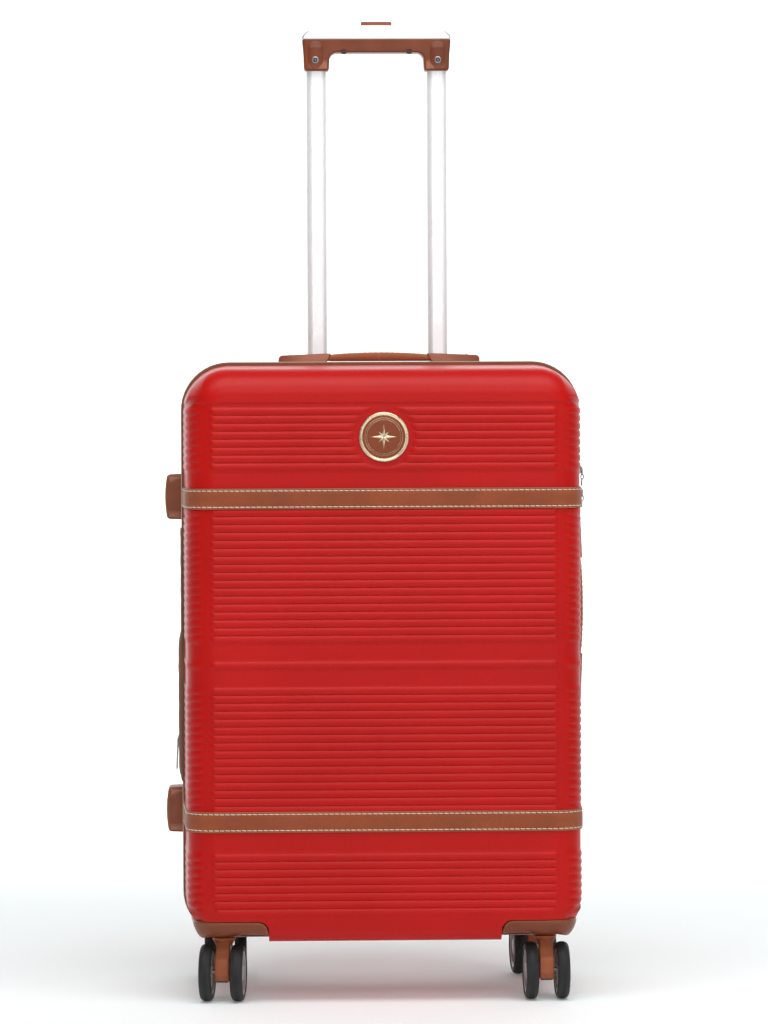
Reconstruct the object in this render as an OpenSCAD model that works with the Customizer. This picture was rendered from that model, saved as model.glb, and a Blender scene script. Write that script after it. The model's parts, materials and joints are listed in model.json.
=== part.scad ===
// Hard shell suitcase on four twin-wheel casters, with a telescopic trolley handle.
// Frame: +X towards the lock side, -Y towards the front shell, +Z up. The floor is z = 0 and the
// origin lies on it, under the middle of the case.

/* [Shells] */
// Width of both shells at the zip
shell_w = 414; // [404:2:440]
// Height of both shells at the zip
shell_h = 599; // [580:1:640]
// Height of the shells' lowest point above the floor
shell_floor = 57; // [55:1:60]
// Depth of the front shell
front_d = 123; // [115:1:140]
// Depth of the back shell
back_d = 117; // [112:1:130]
// Wall thickness of the shells
wall = 2.6; // [2:0.1:3.2]
// Corner radius seen from the front
corner_r = 48; // [44:1:60]
// Radius between a side and the front or back face
edge_r = 30; // [24:1:34]
// How far each side leans in between the zip and the face
draft = 4; // [2:0.5:6]

/* [Zip and expansion] */
// How far zip tapes stand proud of the shells
tape_proud = 2; // [1:0.5:3]
// Depth of each zip tape
tape_d = 4.7; // [4:0.1:6]
// Depth of the frame between the two zips
band_d = 5.7; // [5:0.1:8]
// Depth of the folded expansion gusset
gusset_d = 4; // [3:0.5:6]

/* [Straps, badge and feet] */
// Width of the leather straps
strap_w = 21.5; // [18:0.5:26]
// Thickness of the leather straps
strap_t = 1.6; // [1:0.1:2.5]
// Height of the upper strap's middle
strap_high_z = 518; // [500:1:530]
// Height of the lower strap's middle
strap_low_z = 187; // [175:1:200]
// Diameter of the round badge
badge_d = 51; // [40:1:60]
// Height of the badge's middle
badge_z = 581; // [570:1:590]
// How far the side feet stand out
foot_out = 19.5; // [12:0.5:20]
// Height of one side foot
foot_h = 49; // [40:1:56]

/* [Trolley handle] */
// Distance between the two tubes' centres
tube_pitch = 129; // [124:1:134]
// Width of a tube
tube_w = 21.6; // [20:0.2:23]
// Depth of a tube
tube_t = 13; // [12:0.5:14]
// How far the trolley slides down
trolley_travel = 338; // [300:1:338]
// Distance of the tubes behind the middle of the case
trolley_y = 92; // [90:1:94]
// Top of the grip's silver cover
grip_top = 1019.5; // [1015:0.5:1022]
// Width of the grip
grip_w = 160; // [156:1:162]

/* [Casters] */
// Wheel diameter
wheel_d = 59; // [56:1:60]
// Wheel width
wheel_w = 13; // [12:0.2:15]
// Width of the fork between the two wheels
fork_w = 15.4; // [14:0.2:16]
// Distance from the swivel axis to the axle
trail = 14; // [10:1:16]
// Distance of the swivels left and right of the middle
swivel_x = 166; // [160:1:168]
// Distance of the swivels in front of and behind the middle
swivel_y = 86; // [82:1:90]

/* [Hidden] */

RED = [0.75, 0.13, 0.12];
TAN = [0.58, 0.29, 0.18];
DARK_TAN = [0.46, 0.23, 0.14];
LINING = [0.32, 0.3, 0.28];
SILVER = [0.85, 0.85, 0.86];
STEEL = [0.62, 0.62, 0.64];
BRASS = [0.86, 0.76, 0.55];
BLACK = [0.1, 0.1, 0.11];

gap = 0.3;        // room between parts that move past each other
fit = 0.05;       // radial room of a running fit
eps = 0.01;       // overlap that makes a cut clean
arc_steps = 6;    // flats in a quarter of the shells' edge rounding
hull_fn = 40;     // sides of a full circle in the shells' corners
cut_room = 0.4;   // room between a shell and a part set into it
lining_room = 0.5;
big = 1000;       // larger than the case, for cutting boxes

shell_mid = shell_floor + shell_h / 2;
shell_top = shell_floor + shell_h;
side_x = shell_w / 2;

// Planes from the front to the back along Y: lid, zip, band, gusset, second zip, back shell
lid_zip_y = -2.3;
front_rim_y = lid_zip_y - tape_d;
band_y = lid_zip_y + 2 * gap;
gusset_y = band_y + band_d;
back_tape_y = gusset_y + gusset_d;
back_rim_y = back_tape_y + tape_d;
front_face_y = front_rim_y - front_d;
back_face_y = back_rim_y + back_d;

// Casters
wheel_r = wheel_d / 2;
swivel_top = 65.5;
fork_top = swivel_top - 0.6;
guard_floor = 69;
guard_top = 84;
guard_in_x = 117;
guard_in_y = 36;
guard_t = 3.5;
pin_r = 4;
axle_r = 3;
yaw_front_left = -6;
yaw_front_right = 2;
yaw_rear_left = 180;
yaw_rear_right = 184;
bowl_r_low = 15;
bowl_r_high = 21;
boss_r = 12;
boss_h = 11;
crown_r = 12;
crown_h = 8;
tread_t = 6.5;   // from the hub's rim to the tread
wheel_gap = 1.9;  // from the fork's side to a wheel

// Trolley
rail_wall = 1.2;
tube_wall = 1.4;
rail_foot_z = 84;
cup_floor_z = 628;
cup_top_z = 658.5;
cup_w = grip_w + 24;
cup_d = 38;
tube_foot_z = rail_foot_z + 4 + trolley_travel + 50;
grip_leg_z = 971.5;
grip_bar_z = 991;
grip_body_top = 1006.5;
grip_d = 26;
grip_leg_w = 30;
tube_top_z = grip_leg_z + 24;
screw_x = 65.5;
screw_z = 983;
screw_r = 1.85;
button_w = 33;
button_d = 15;
button_top = 1024;
button_press = 4;
bar_z = tube_top_z + button_press + 0.5;
rod_r = 2.4;
cup_r = 8;
hump_w = cup_w + 6;
hump_y = trolley_y - cup_d / 2 - 2;
lining_t = 1;
strap_turn = 50;  // of the packing straps from upright

// Carry handles, drawn as the top one
foot_w = 40;
handle_y = 42;
handle_len = 214;
handle_w = 28;
handle_h = 14.5;
cap_in_low = 59.4;
cap_in_high = 51;
grip_half = cap_in_high - 0.6;
post_r = 4;
post_x = 44;
handle_side_z = 399;
handle_side_y = 71;
handle_sink = 1.5;
post_deep = 23;
bush_t = 1.4;

// Lock on the right side
lock_y = 33;
lock_z = 568;
lock_w = 28;
lock_h = 44;
lock_proud = 3;
lock_deep = 9;
lock_lip = 3.2;
dial_r = 6;
dial_t = 4;
dial_pitch = 7.5;
dial_x = side_x + lock_proud - dial_r + 1.5;
dial_low_z = 561;

// Zip sliders
slider_w = 8;
slider_len = 9;
slider_t = 3.6;

// Profile of a rounded disc that is swept round a shell's corner. It starts "reach" below the rim.
function disc_profile(r, d, e, reach) = concat(
    [[0, -reach], [r + draft * reach / (d - e), -reach]],
    [for (i = [0 : arc_steps]) [r - draft - e + e * cos(90 * i / arc_steps), d - e + e * sin(90 * i / arc_steps)]],
    [[0, d]]
);

// A shell filled solid, grown by "grow" all round, with its rim at z = 0 and its face at z = depth
module filled_shell(depth, grow = 0, reach = 0) {
    hull()
        for (sx = [-1, 1], sy = [-1, 1])
            translate([sx * (side_x - corner_r), sy * (shell_h / 2 - corner_r), 0])
                rotate_extrude($fn = hull_fn)
                    polygon(disc_profile(corner_r + grow, depth + grow, edge_r + grow, reach));
}

module in_front() {
    translate([0, front_rim_y, shell_mid]) rotate([90, 0, 0]) children();
}

module in_back() {
    translate([0, back_rim_y, shell_mid]) mirror([0, 1, 0]) rotate([90, 0, 0]) children();
}

// Flat rounded rectangle standing along Z
module rounded_plate(w, h, r, t) {
    linear_extrude(t) {
        square([w - 2 * r, h], center = true);
        square([w, h - 2 * r], center = true);
        for (sx = [-1, 1], sy = [-1, 1])
            translate([sx * (w / 2 - r), sy * (h / 2 - r)]) circle(r, $fn = 64);
    }
}

// Ring that follows the shells' rim, between two planes along Y
module rim_ring(y0, y1, out, in) {
    translate([0, y1, shell_mid])
        rotate([90, 0, 0])
            difference() {
                rounded_plate(shell_w + 2 * out, shell_h + 2 * out, corner_r + out, y1 - y0);
                translate([0, 0, -1])
                    rounded_plate(shell_w - 2 * in, shell_h - 2 * in, corner_r - in, y1 - y0 + 2);
            }
}

// Box that holds one bottom corner of a shell, where the caster housing sits
module corner_box(sx, sy, room) {
    x0 = guard_in_x - room;
    y0 = guard_in_y - room;
    translate([sx > 0 ? x0 : -x0 - big, sy > 0 ? y0 : -y0 - big, -big + guard_top + room])
        cube(big);
}

// Box filling the band of heights that a leather strap covers
module strap_slab(z) {
    translate([-big / 2, -big / 2, z - strap_w / 2]) cube([big, big, strap_w]);
}

// ---- Shells, linings and straps ----

module back_shell() {
    color(RED)
        difference() {
            in_back() filled_shell(back_d);
            in_back() filled_shell(back_d, -wall, 1);
            for (sx = [-1, 1]) corner_box(sx, 1, cut_room);
            translate([0, trolley_y, cup_floor_z]) rounded_plate(cup_w + cut_room, cup_d + cut_room, cup_r, big);
            lock_block(lock_h - 2 * lock_lip + 2 * cut_room, lock_w - 2 * lock_lip + 2 * cut_room, 2,
                side_x - lock_deep - 4, side_x + 4);
            handle_posts(post_r + 1.5, 30, 60);
        }
}

module front_shell() {
    color(RED)
        difference() {
            in_front() filled_shell(front_d);
            in_front() filled_shell(front_d, -wall, 1);
            for (sx = [-1, 1]) corner_box(sx, -1, cut_room);
        }
}

// Thin fabric tray inside a shell
module lining_tray(depth) {
    difference() {
        filled_shell(depth, -wall - lining_room, -1);
        filled_shell(depth, -wall - lining_room - lining_t, 1);
    }
}

// Block that the lining goes round to cover the rails
module rail_hump(grow) {
    translate([-hump_w / 2 - grow, hump_y - grow, 0]) cube([hump_w + 2 * grow, back_face_y - hump_y, big]);
}

module back_lining() {
    color(LINING)
        difference() {
            union() {
                difference() {
                    in_back() lining_tray(back_d);
                    rail_hump(0);
                }
                intersection() {
                    in_back() filled_shell(back_d, -wall - lining_t, -2);
                    difference() {
                        rail_hump(lining_t);
                        rail_hump(0);
                    }
                }
            }
            for (sx = [-1, 1]) corner_box(sx, 1, 5);
            lock_block(lock_h + 4, lock_w + 4, 4, side_x - lock_deep - 8, side_x + 4);
            handle_posts(post_r + 4, 40, 60);
        }
}

module front_lining() {
    color(LINING)
        difference() {
            in_front() lining_tray(front_d);
            for (sx = [-1, 1]) corner_box(sx, -1, 5);
        }
}

// Leather strap that lies on a shell, from rim to rim round its face
module strap_on(z, depth) {
    intersection() {
        difference() {
            filled_shell(depth, strap_t);
            filled_shell(depth, 0, 1);
        }
        translate([0, -shell_mid, 0]) rotate([-90, 0, 0]) strap_slab(z);
    }
}

module back_strap(z) {
    color(TAN)
        difference() {
            in_back() strap_on(z, back_d);
            side_foot_block(z, cut_room);
        }
}

module back_strap_upper() {
    back_strap(strap_high_z);
}

module back_strap_lower() {
    back_strap(strap_low_z);
}

module front_strap_upper() {
    color(TAN) in_front() strap_on(strap_high_z, front_d);
}

module front_strap_lower() {
    color(TAN) in_front() strap_on(strap_low_z, front_d);
}

// ---- Zip tapes, band, gusset and fabric hinge ----

module back_zip_tape() {
    color(DARK_TAN) rim_ring(back_tape_y, back_rim_y - eps, tape_proud, 3);
}

module front_zip_tape() {
    color(DARK_TAN) rim_ring(front_rim_y + eps, lid_zip_y, tape_proud, 3);
}

module expander_band() {
    color(DARK_TAN) rim_ring(band_y, gusset_y, tape_proud, 4);
}

module expansion_gusset() {
    color(DARK_TAN) rim_ring(gusset_y + eps, back_tape_y - eps, 0, 3);
}

// Fabric strip between the lid and the band, bulging out on the hinge side
module hinge_tape() {
    low = strap_low_z + foot_h / 2 + 8;
    high = strap_high_z - foot_h / 2 - 8;
    color(DARK_TAN)
        translate([-side_x - tape_proud - 0.2, 0, low])
            linear_extrude(high - low)
                polygon([[0, front_rim_y], [-2.2, front_rim_y + 1], [-3, lid_zip_y],
                    [-2.2, gusset_y - 1], [0, gusset_y]]);
}

// ---- Badge and side feet ----

module badge(r, out, deep) {
    translate([0, front_face_y + deep, badge_z]) rotate([90, 0, 0]) cylinder(r = r, h = out + deep, $fn = 96);
}

module badge_rim() {
    color(BRASS)
        difference() {
            badge(badge_d / 2, 1.8, 0);
            badge(badge_d / 2 - 3, 3, 1);
        }
}

module badge_face() {
    color(TAN) badge(badge_d / 2 - 3.05, 1.2, 0);
}

// Outline of one side foot, standing out towards -X
module side_foot_block(z, room) {
    deep = 6;
    translate([-side_x - foot_out, handle_y - foot_w / 2 - room, z - foot_h / 2 - room])
        cube([foot_out + deep, foot_w + 2 * room, foot_h + 2 * room]);
}

module side_foot(z) {
    bevel = 8;
    difference() {
        side_foot_block(z, 0);
        in_back() filled_shell(back_d);
        for (s = [-1, 1])
            translate([-side_x - foot_out, handle_y, z + s * foot_h / 2])
                rotate([0, 45, 0]) cube([bevel, 60, bevel], center = true);
    }
}

module side_feet() {
    color(TAN) {
        side_foot(strap_high_z);
        side_foot(strap_low_z);
    }
}

// ---- Trolley ----

module at_tubes() {
    for (sx = [-1, 1]) translate([sx * tube_pitch / 2, trolley_y, 0]) children();
}

module tube_block(z0, z1, room) {
    translate([0, 0, z0])
        rounded_plate(tube_w + 2 * room, tube_t + 2 * room, tube_t / 2 - 0.5 + room, z1 - z0);
}

module trolley_cup() {
    color(DARK_TAN)
        translate([0, trolley_y, 0])
            difference() {
                translate([0, 0, cup_floor_z]) rounded_plate(cup_w, cup_d, cup_r, cup_top_z - cup_floor_z);
                translate([0, 0, cup_floor_z + 3])
                    rounded_plate(grip_w + 6, grip_d + 5, 5, cup_top_z - cup_floor_z);
                translate([0, -trolley_y, 0]) at_tubes() tube_block(cup_floor_z - 1, cup_floor_z + 4, 0.5);
            }
}

module rails() {
    color(SILVER)
        at_tubes()
            difference() {
                tube_block(rail_foot_z, cup_floor_z - eps, gap + rail_wall);
                tube_block(rail_foot_z - 1, cup_floor_z + 1, gap);
            }
}

module rail_bracket() {
    color(DARK_TAN)
        intersection() {
            translate([-tube_pitch / 2 - 20, trolley_y - 12, 0]) cube([tube_pitch + 40, 24, rail_foot_z - eps]);
            in_back() filled_shell(back_d, -wall);
        }
}

module trolley_tube(sx) {
    color(SILVER)
        translate([sx * tube_pitch / 2, trolley_y, 0])
            difference() {
                tube_block(tube_foot_z, tube_top_z, 0);
                tube_block(tube_foot_z - 1, tube_top_z + 1, -tube_wall);
            }
}

module left_tube() {
    trolley_tube(-1);
}

module right_tube() {
    trolley_tube(1);
}

// Slot in the grip along which the button's cross bar moves up and down
module button_slot(z, h) {
    translate([-tube_pitch / 2 - 8, trolley_y - button_d / 2 - 0.5, z])
        cube([tube_pitch + 16, button_d + 1, h]);
}

module grip_body() {
    half = grip_w / 2;
    inner = half - grip_leg_w;
    chamfer = 8;
    color(DARK_TAN)
        difference() {
            translate([0, trolley_y + grip_d / 2, 0])
                rotate([90, 0, 0])
                    linear_extrude(grip_d)
                        polygon([[-half + 2, grip_leg_z], [-inner, grip_leg_z], [-inner, grip_bar_z - chamfer],
                            [-inner + chamfer, grip_bar_z], [inner - chamfer, grip_bar_z],
                            [inner, grip_bar_z - chamfer], [inner, grip_leg_z], [half - 2, grip_leg_z],
                            [half, grip_body_top], [-half, grip_body_top]]);
            at_tubes() tube_block(grip_leg_z - 1, tube_top_z, 0.02);
            at_tubes() cylinder(r = rod_r + 1, h = grip_body_top - 5, $fn = 48);
            button_slot(tube_top_z, 30);
            for (sx = [-1, 1]) at_screw(sx) cylinder(r = screw_r + fit, h = 8, $fn = 48);
        }
}

// Place of a grip screw, with +Z into the leg's front
module at_screw(sx) {
    translate([sx * screw_x, trolley_y - grip_d / 2 - 0.3, screw_z]) rotate([-90, 0, 0]) children();
}

module grip_screws() {
    color(STEEL)
        for (sx = [-1, 1])
            at_screw(sx)
                difference() {
                    cylinder(r = screw_r, h = 4.5, $fn = 48);
                    for (a = [0, 90])
                        rotate(a) translate([-1.2, -0.3, -1]) cube([2.4, 0.6, 1.8]);
                }
}

// Arched cover that closes the grip's top
module grip_cover() {
    arch = 3.5;
    half = grip_w / 2;
    arch_r = (half * half + arch * arch) / (2 * arch);
    color(SILVER)
        difference() {
            translate([0, trolley_y + grip_d / 2, 0])
                rotate([90, 0, 0])
                    linear_extrude(grip_d)
                        intersection() {
                            translate([-half, grip_body_top + eps]) square([grip_w, grip_top - grip_body_top]);
                            translate([0, grip_top - arch_r]) circle(arch_r, $fn = 360);
                        }
            translate([0, trolley_y, grip_body_top - 1]) rounded_plate(button_w + 0.8, button_d + 0.8, 5, 30);
            button_slot(grip_body_top - 1, 5);
        }
}

// Button with the cross bar that carries the two push rods
module grip_button() {
    color(STEEL) {
        translate([0, trolley_y, bar_z]) rounded_plate(button_w, button_d, 5, button_top - bar_z);
        translate([-tube_pitch / 2 - 5, trolley_y - 4, bar_z]) cube([tube_pitch + 10, 8, 4]);
    }
}

module push_rods() {
    foot = tube_foot_z + 6;
    color(STEEL) at_tubes() translate([0, 0, foot]) cylinder(r = rod_r, h = bar_z - foot - eps, $fn = 48);
}

// ---- Carry handles ----

// Puts a child drawn as the top handle on the top, and another on the right side
module on_top() {
    translate([0, handle_y, shell_top - handle_sink]) children();
}

module on_right() {
    translate([side_x - handle_sink, handle_side_y, handle_side_z]) rotate([0, 90, 0]) children();
}

module on_both() {
    on_top() children();
    on_right() children();
}

module handle_posts(r, deep, high) {
    on_both() for (sx = [-1, 1]) translate([sx * post_x, 0, -deep]) cylinder(r = r, h = deep + high, $fn = 64);
}

// The two end caps of one handle, with the low plate between them
module handle_caps() {
    for (s = [0, 1])
        mirror([s, 0, 0])
            translate([0, handle_w / 2, 0])
                rotate([90, 0, 0])
                    linear_extrude(handle_w)
                        polygon([[cap_in_low, -3], [handle_len / 2, -3], [handle_len / 2, handle_h - 5],
                            [handle_len / 2 - 4, handle_h - 2], [cap_in_high + 8, handle_h],
                            [cap_in_high, handle_h], [cap_in_low, 5]]);
    translate([-cap_in_low - 1, -handle_w / 2, -3]) cube([2 * cap_in_low + 2, handle_w, 5.3]);
}

// Both handles' caps, cut to the shell, and the bushes that guide the grips' posts
module handle_mounts() {
    color(TAN)
        difference() {
            union() {
                difference() {
                    on_both() handle_caps();
                    in_back() filled_shell(back_d);
                }
                handle_posts(post_r + bush_t, post_deep + 1, 2.3);
            }
            handle_posts(post_r + gap, post_deep + 2, 30);
        }
}

// Grip bar with its two guide posts
module handle_grip() {
    translate([0, handle_w / 2 - 0.5, 0])
        rotate([90, 0, 0])
            linear_extrude(handle_w - 1)
                polygon([[-grip_half, 5.6], [-grip_half, handle_h - 0.2], [-grip_half / 2, handle_h + 2.6],
                    [grip_half / 2, handle_h + 2.6], [grip_half, handle_h - 0.2], [grip_half, 5.6]]);
    for (sx = [-1, 1]) translate([sx * post_x, 0, -post_deep]) cylinder(r = post_r, h = post_deep + 7, $fn = 64);
}

module top_handle_grip() {
    color(TAN) on_top() handle_grip();
}

module side_handle_grip() {
    color(TAN) on_right() handle_grip();
}

// ---- Lock ----

module at_dials() {
    for (i = [0 : 2]) translate([dial_x, lock_y, dial_low_z + i * dial_pitch]) children();
}

module lock_block(h, w, r, x0, x1) {
    translate([x0, lock_y, lock_z]) rotate([0, 90, 0]) rounded_plate(h, w, r, x1 - x0);
}

module lock_case() {
    color(STEEL) {
        difference() {
            union() {
                difference() {
                    lock_block(lock_h, lock_w, 4, side_x - 2, side_x + lock_proud);
                    in_back() filled_shell(back_d);
                }
                lock_block(lock_h - 2 * lock_lip, lock_w - 2 * lock_lip, 1.6,
                    side_x - lock_deep, side_x + lock_proud - 0.5);
            }
            at_dials() cylinder(r = dial_r + 0.4, h = dial_t + 0.8, center = true, $fn = 64);
            lock_button_block(0.3, 3);
        }
        translate([dial_x, lock_y, dial_low_z - 5]) cylinder(r = 1, h = 2 * dial_pitch + 10, $fn = 48);
    }
}

module lock_dial(i) {
    color(BRASS)
        translate([dial_x, lock_y, dial_low_z + i * dial_pitch])
            difference() {
                cylinder(r = dial_r, h = dial_t, center = true, $fn = 64);
                cylinder(r = 1 + fit, h = dial_t + 1, center = true, $fn = 48);
            }
}

module lock_dial_1() {
    lock_dial(0);
}

module lock_dial_2() {
    lock_dial(1);
}

module lock_dial_3() {
    lock_dial(2);
}

module lock_button_block(room, deep) {
    side = 6;
    translate([side_x + lock_proud - 4 - deep, lock_y - side / 2 - room, lock_z - 18 - room])
        cube([5 + deep + (room > 0 ? 2 : 0), side + 2 * room, side + 2 * room]);
}

module lock_button() {
    color(STEEL) lock_button_block(0, 0);
}

// ---- Zip sliders ----

// Slider with a looped puller that hangs down from it, standing out towards +X
module zip_slider(len) {
    translate([0, -slider_w / 2, -slider_len]) cube([slider_t, slider_w, slider_len]);
    translate([slider_t / 2, -2.6, -slider_len - len])
        difference() {
            cube([1.8, 5.2, len + 3]);
            translate([-1, 1.4, 1.8]) cube([4, 2.4, len - 3]);
        }
}

module main_slider(top) {
    color(SILVER) translate([side_x + tape_proud + gap, (lid_zip_y + band_y) / 2, top]) zip_slider(13);
}

module zip_slider_upper() {
    main_slider(549.5);
}

module zip_slider_lower() {
    main_slider(527);
}

module expander_slider() {
    color(SILVER)
        translate([-side_x - tape_proud - gap, (gusset_y + back_tape_y) / 2 + 3.5, 276])
            mirror([1, 0, 0])
                zip_slider(36);
}

// ---- Corner housings and casters ----

module caster_guard(sx, sy) {
    color(DARK_TAN)
        difference() {
            union() {
                difference() {
                    intersection() {
                        corner_shell(sy, 0.3);
                        corner_box(sx, sy, 0);
                        translate([-big / 2, -big / 2, guard_floor]) cube(big);
                    }
                    intersection() {
                        corner_shell(sy, -guard_t);
                        translate([-big / 2, -big / 2, guard_floor + guard_t]) cube(big);
                    }
                }
                translate([sx * swivel_x, sy * swivel_y, swivel_top])
                    cylinder(r1 = bowl_r_low, r2 = bowl_r_high, h = guard_floor + 1 - swivel_top, $fn = 96);
                translate([sx * swivel_x, sy * swivel_y, guard_floor]) cylinder(r = boss_r, h = boss_h, $fn = 96);
            }
            translate([sx * swivel_x, sy * swivel_y, swivel_top - 1]) cylinder(r = pin_r + 0.02, h = 30, $fn = 64);
        }
}

module corner_shell(sy, grow) {
    if (sy < 0)
        in_front() filled_shell(front_d, grow);
    else
        in_back() filled_shell(back_d, grow);
}

module front_left_guard() {
    caster_guard(-1, -1);
}

module front_right_guard() {
    caster_guard(1, -1);
}

module rear_left_guard() {
    caster_guard(-1, 1);
}

module rear_right_guard() {
    caster_guard(1, 1);
}

module swivel_pins(sy) {
    color(STEEL)
        for (sx = [-1, 1])
            translate([sx * swivel_x, sy * swivel_y, 0]) {
                translate([0, 0, swivel_top - 11]) cylinder(r = pin_r, h = 27, $fn = 64);
                translate([0, 0, guard_floor + boss_h + eps]) cylinder(r = pin_r + 3, h = 2, $fn = 64);
            }
}

module front_swivel_pins() {
    swivel_pins(-1);
}

module rear_swivel_pins() {
    swivel_pins(1);
}

// Places a caster drawn with its wheels trailing towards -Y
module at_caster(sx, sy, yaw) {
    translate([sx * swivel_x, sy * swivel_y, 0]) rotate(yaw) children();
}

module fork() {
    color(TAN)
        difference() {
            union() {
                translate([0, 0, fork_top - crown_h]) cylinder(r1 = fork_w / 2 + 0.5, r2 = crown_r, h = crown_h, $fn = 96);
                translate([-fork_w / 2, 0, 0])
                    rotate([90, 0, 90])
                        linear_extrude(fork_w) {
                            polygon([[9, fork_top - 6], [-9, fork_top - 6], [-trail - 10, wheel_r + 14],
                                [-trail - 11, wheel_r], [-trail + 4, wheel_r - 9], [4, wheel_r + 12]]);
                            translate([-trail, wheel_r]) circle(11, $fn = 64);
                        }
            }
            translate([0, 0, fork_top - 12]) cylinder(r = pin_r + fit, h = 20, $fn = 64);
            translate([-fork_w, -trail, wheel_r]) rotate([0, 90, 0]) cylinder(r = axle_r + 0.02, h = 2 * fork_w, $fn = 64);
        }
}

module axle() {
    half = fork_w / 2 + wheel_gap + wheel_w * 0.75;
    color(STEEL) translate([-half, -trail, wheel_r]) rotate([0, 90, 0]) cylinder(r = axle_r, h = 2 * half, $fn = 64);
}

// One wheel on the side s of the fork: a grey hub with a rubber tyre round it
module wheel(s) {
    rim_r = wheel_r - tread_t;
    inner = fork_w / 2 + wheel_gap;
    translate([s * inner, -trail, wheel_r])
        rotate([0, s * 90, 0]) {
            color(STEEL)
                difference() {
                    cylinder(r = rim_r, h = wheel_w - 1, $fn = 96);
                    translate([0, 0, -1]) cylinder(r = axle_r + fit, h = wheel_w * 0.75 + 1.5, $fn = 64);
                    translate([0, 0, wheel_w - 2.4]) cylinder(r = rim_r - 4, h = 4, $fn = 96);
                }
            color(BLACK)
                rotate_extrude($fn = 96)
                    polygon([[rim_r + 0.02, 0], [wheel_r - 2.5, 0], [wheel_r - 0.6, 2], [wheel_r, 4.5],
                        [wheel_r, wheel_w - 4.5], [wheel_r - 0.6, wheel_w - 2], [wheel_r - 2.5, wheel_w],
                        [rim_r + 0.02, wheel_w]]);
        }
}

module front_left_fork() {
    at_caster(-1, -1, yaw_front_left) fork();
}

module front_right_fork() {
    at_caster(1, -1, yaw_front_right) fork();
}

module rear_left_fork() {
    at_caster(-1, 1, yaw_rear_left) fork();
}

module rear_right_fork() {
    at_caster(1, 1, yaw_rear_right) fork();
}

module front_left_axle() {
    at_caster(-1, -1, yaw_front_left) axle();
}

module front_right_axle() {
    at_caster(1, -1, yaw_front_right) axle();
}

module rear_left_axle() {
    at_caster(-1, 1, yaw_rear_left) axle();
}

module rear_right_axle() {
    at_caster(1, 1, yaw_rear_right) axle();
}

module front_left_outer_wheel() {
    at_caster(-1, -1, yaw_front_left) wheel(-1);
}

module front_left_inner_wheel() {
    at_caster(-1, -1, yaw_front_left) wheel(1);
}

module front_right_outer_wheel() {
    at_caster(1, -1, yaw_front_right) wheel(1);
}

module front_right_inner_wheel() {
    at_caster(1, -1, yaw_front_right) wheel(-1);
}

module rear_left_outer_wheel() {
    at_caster(-1, 1, yaw_rear_left) wheel(1);
}

module rear_left_inner_wheel() {
    at_caster(-1, 1, yaw_rear_left) wheel(-1);
}

module rear_right_outer_wheel() {
    at_caster(1, 1, yaw_rear_right) wheel(-1);
}

module rear_right_inner_wheel() {
    at_caster(1, 1, yaw_rear_right) wheel(1);
}

// ---- Inside ----

// Two elastic straps that hold the load down, with a buckle where they meet
module packing_straps() {
    y = hump_y - 3.4;
    buckle_z = 330;
    buckle = 44;
    strap = [470, 1.2, 20];
    color(BLACK) {
        for (s = [-1, 1])
            translate([0, y + s * 0.65, buckle_z])
                rotate([0, s * strap_turn, 0])
                    cube(strap, center = true);
        translate([-buckle / 2, y - 5.3, buckle_z - buckle / 2]) cube([buckle, 4, buckle]);
    }
}

back_shell();
back_lining();
back_strap_upper();
back_strap_lower();
back_zip_tape();
expansion_gusset();
trolley_cup();
rails();
rail_bracket();
handle_mounts();
side_feet();
rear_left_guard();
rear_right_guard();
rear_swivel_pins();
lock_case();
packing_straps();
expander_band();
front_shell();
front_lining();
front_zip_tape();
front_strap_upper();
front_strap_lower();
badge_rim();
badge_face();
front_left_guard();
front_right_guard();
front_swivel_pins();
hinge_tape();
left_tube();
right_tube();
grip_body();
grip_cover();
grip_screws();
grip_button();
push_rods();
top_handle_grip();
side_handle_grip();
zip_slider_upper();
zip_slider_lower();
expander_slider();
lock_dial_1();
lock_dial_2();
lock_dial_3();
lock_button();
front_left_fork();
front_right_fork();
rear_left_fork();
rear_right_fork();
front_left_axle();
front_right_axle();
rear_left_axle();
rear_right_axle();
front_left_outer_wheel();
front_left_inner_wheel();
front_right_outer_wheel();
front_right_inner_wheel();
rear_left_outer_wheel();
rear_left_inner_wheel();
rear_right_outer_wheel();
rear_right_inner_wheel();
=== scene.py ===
"""Looks of the hard shell suitcase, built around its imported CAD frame.

Shapes are worked out in millimetres in the case's own frame (X right, -Y front, Z up) and turned into metres
when a mesh is made. Every place comes from the CAD nodes' boxes and joints.
"""
import json
import math

import bmesh
import bpy
import numpy as np
from mathutils import Matrix, Vector


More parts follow.
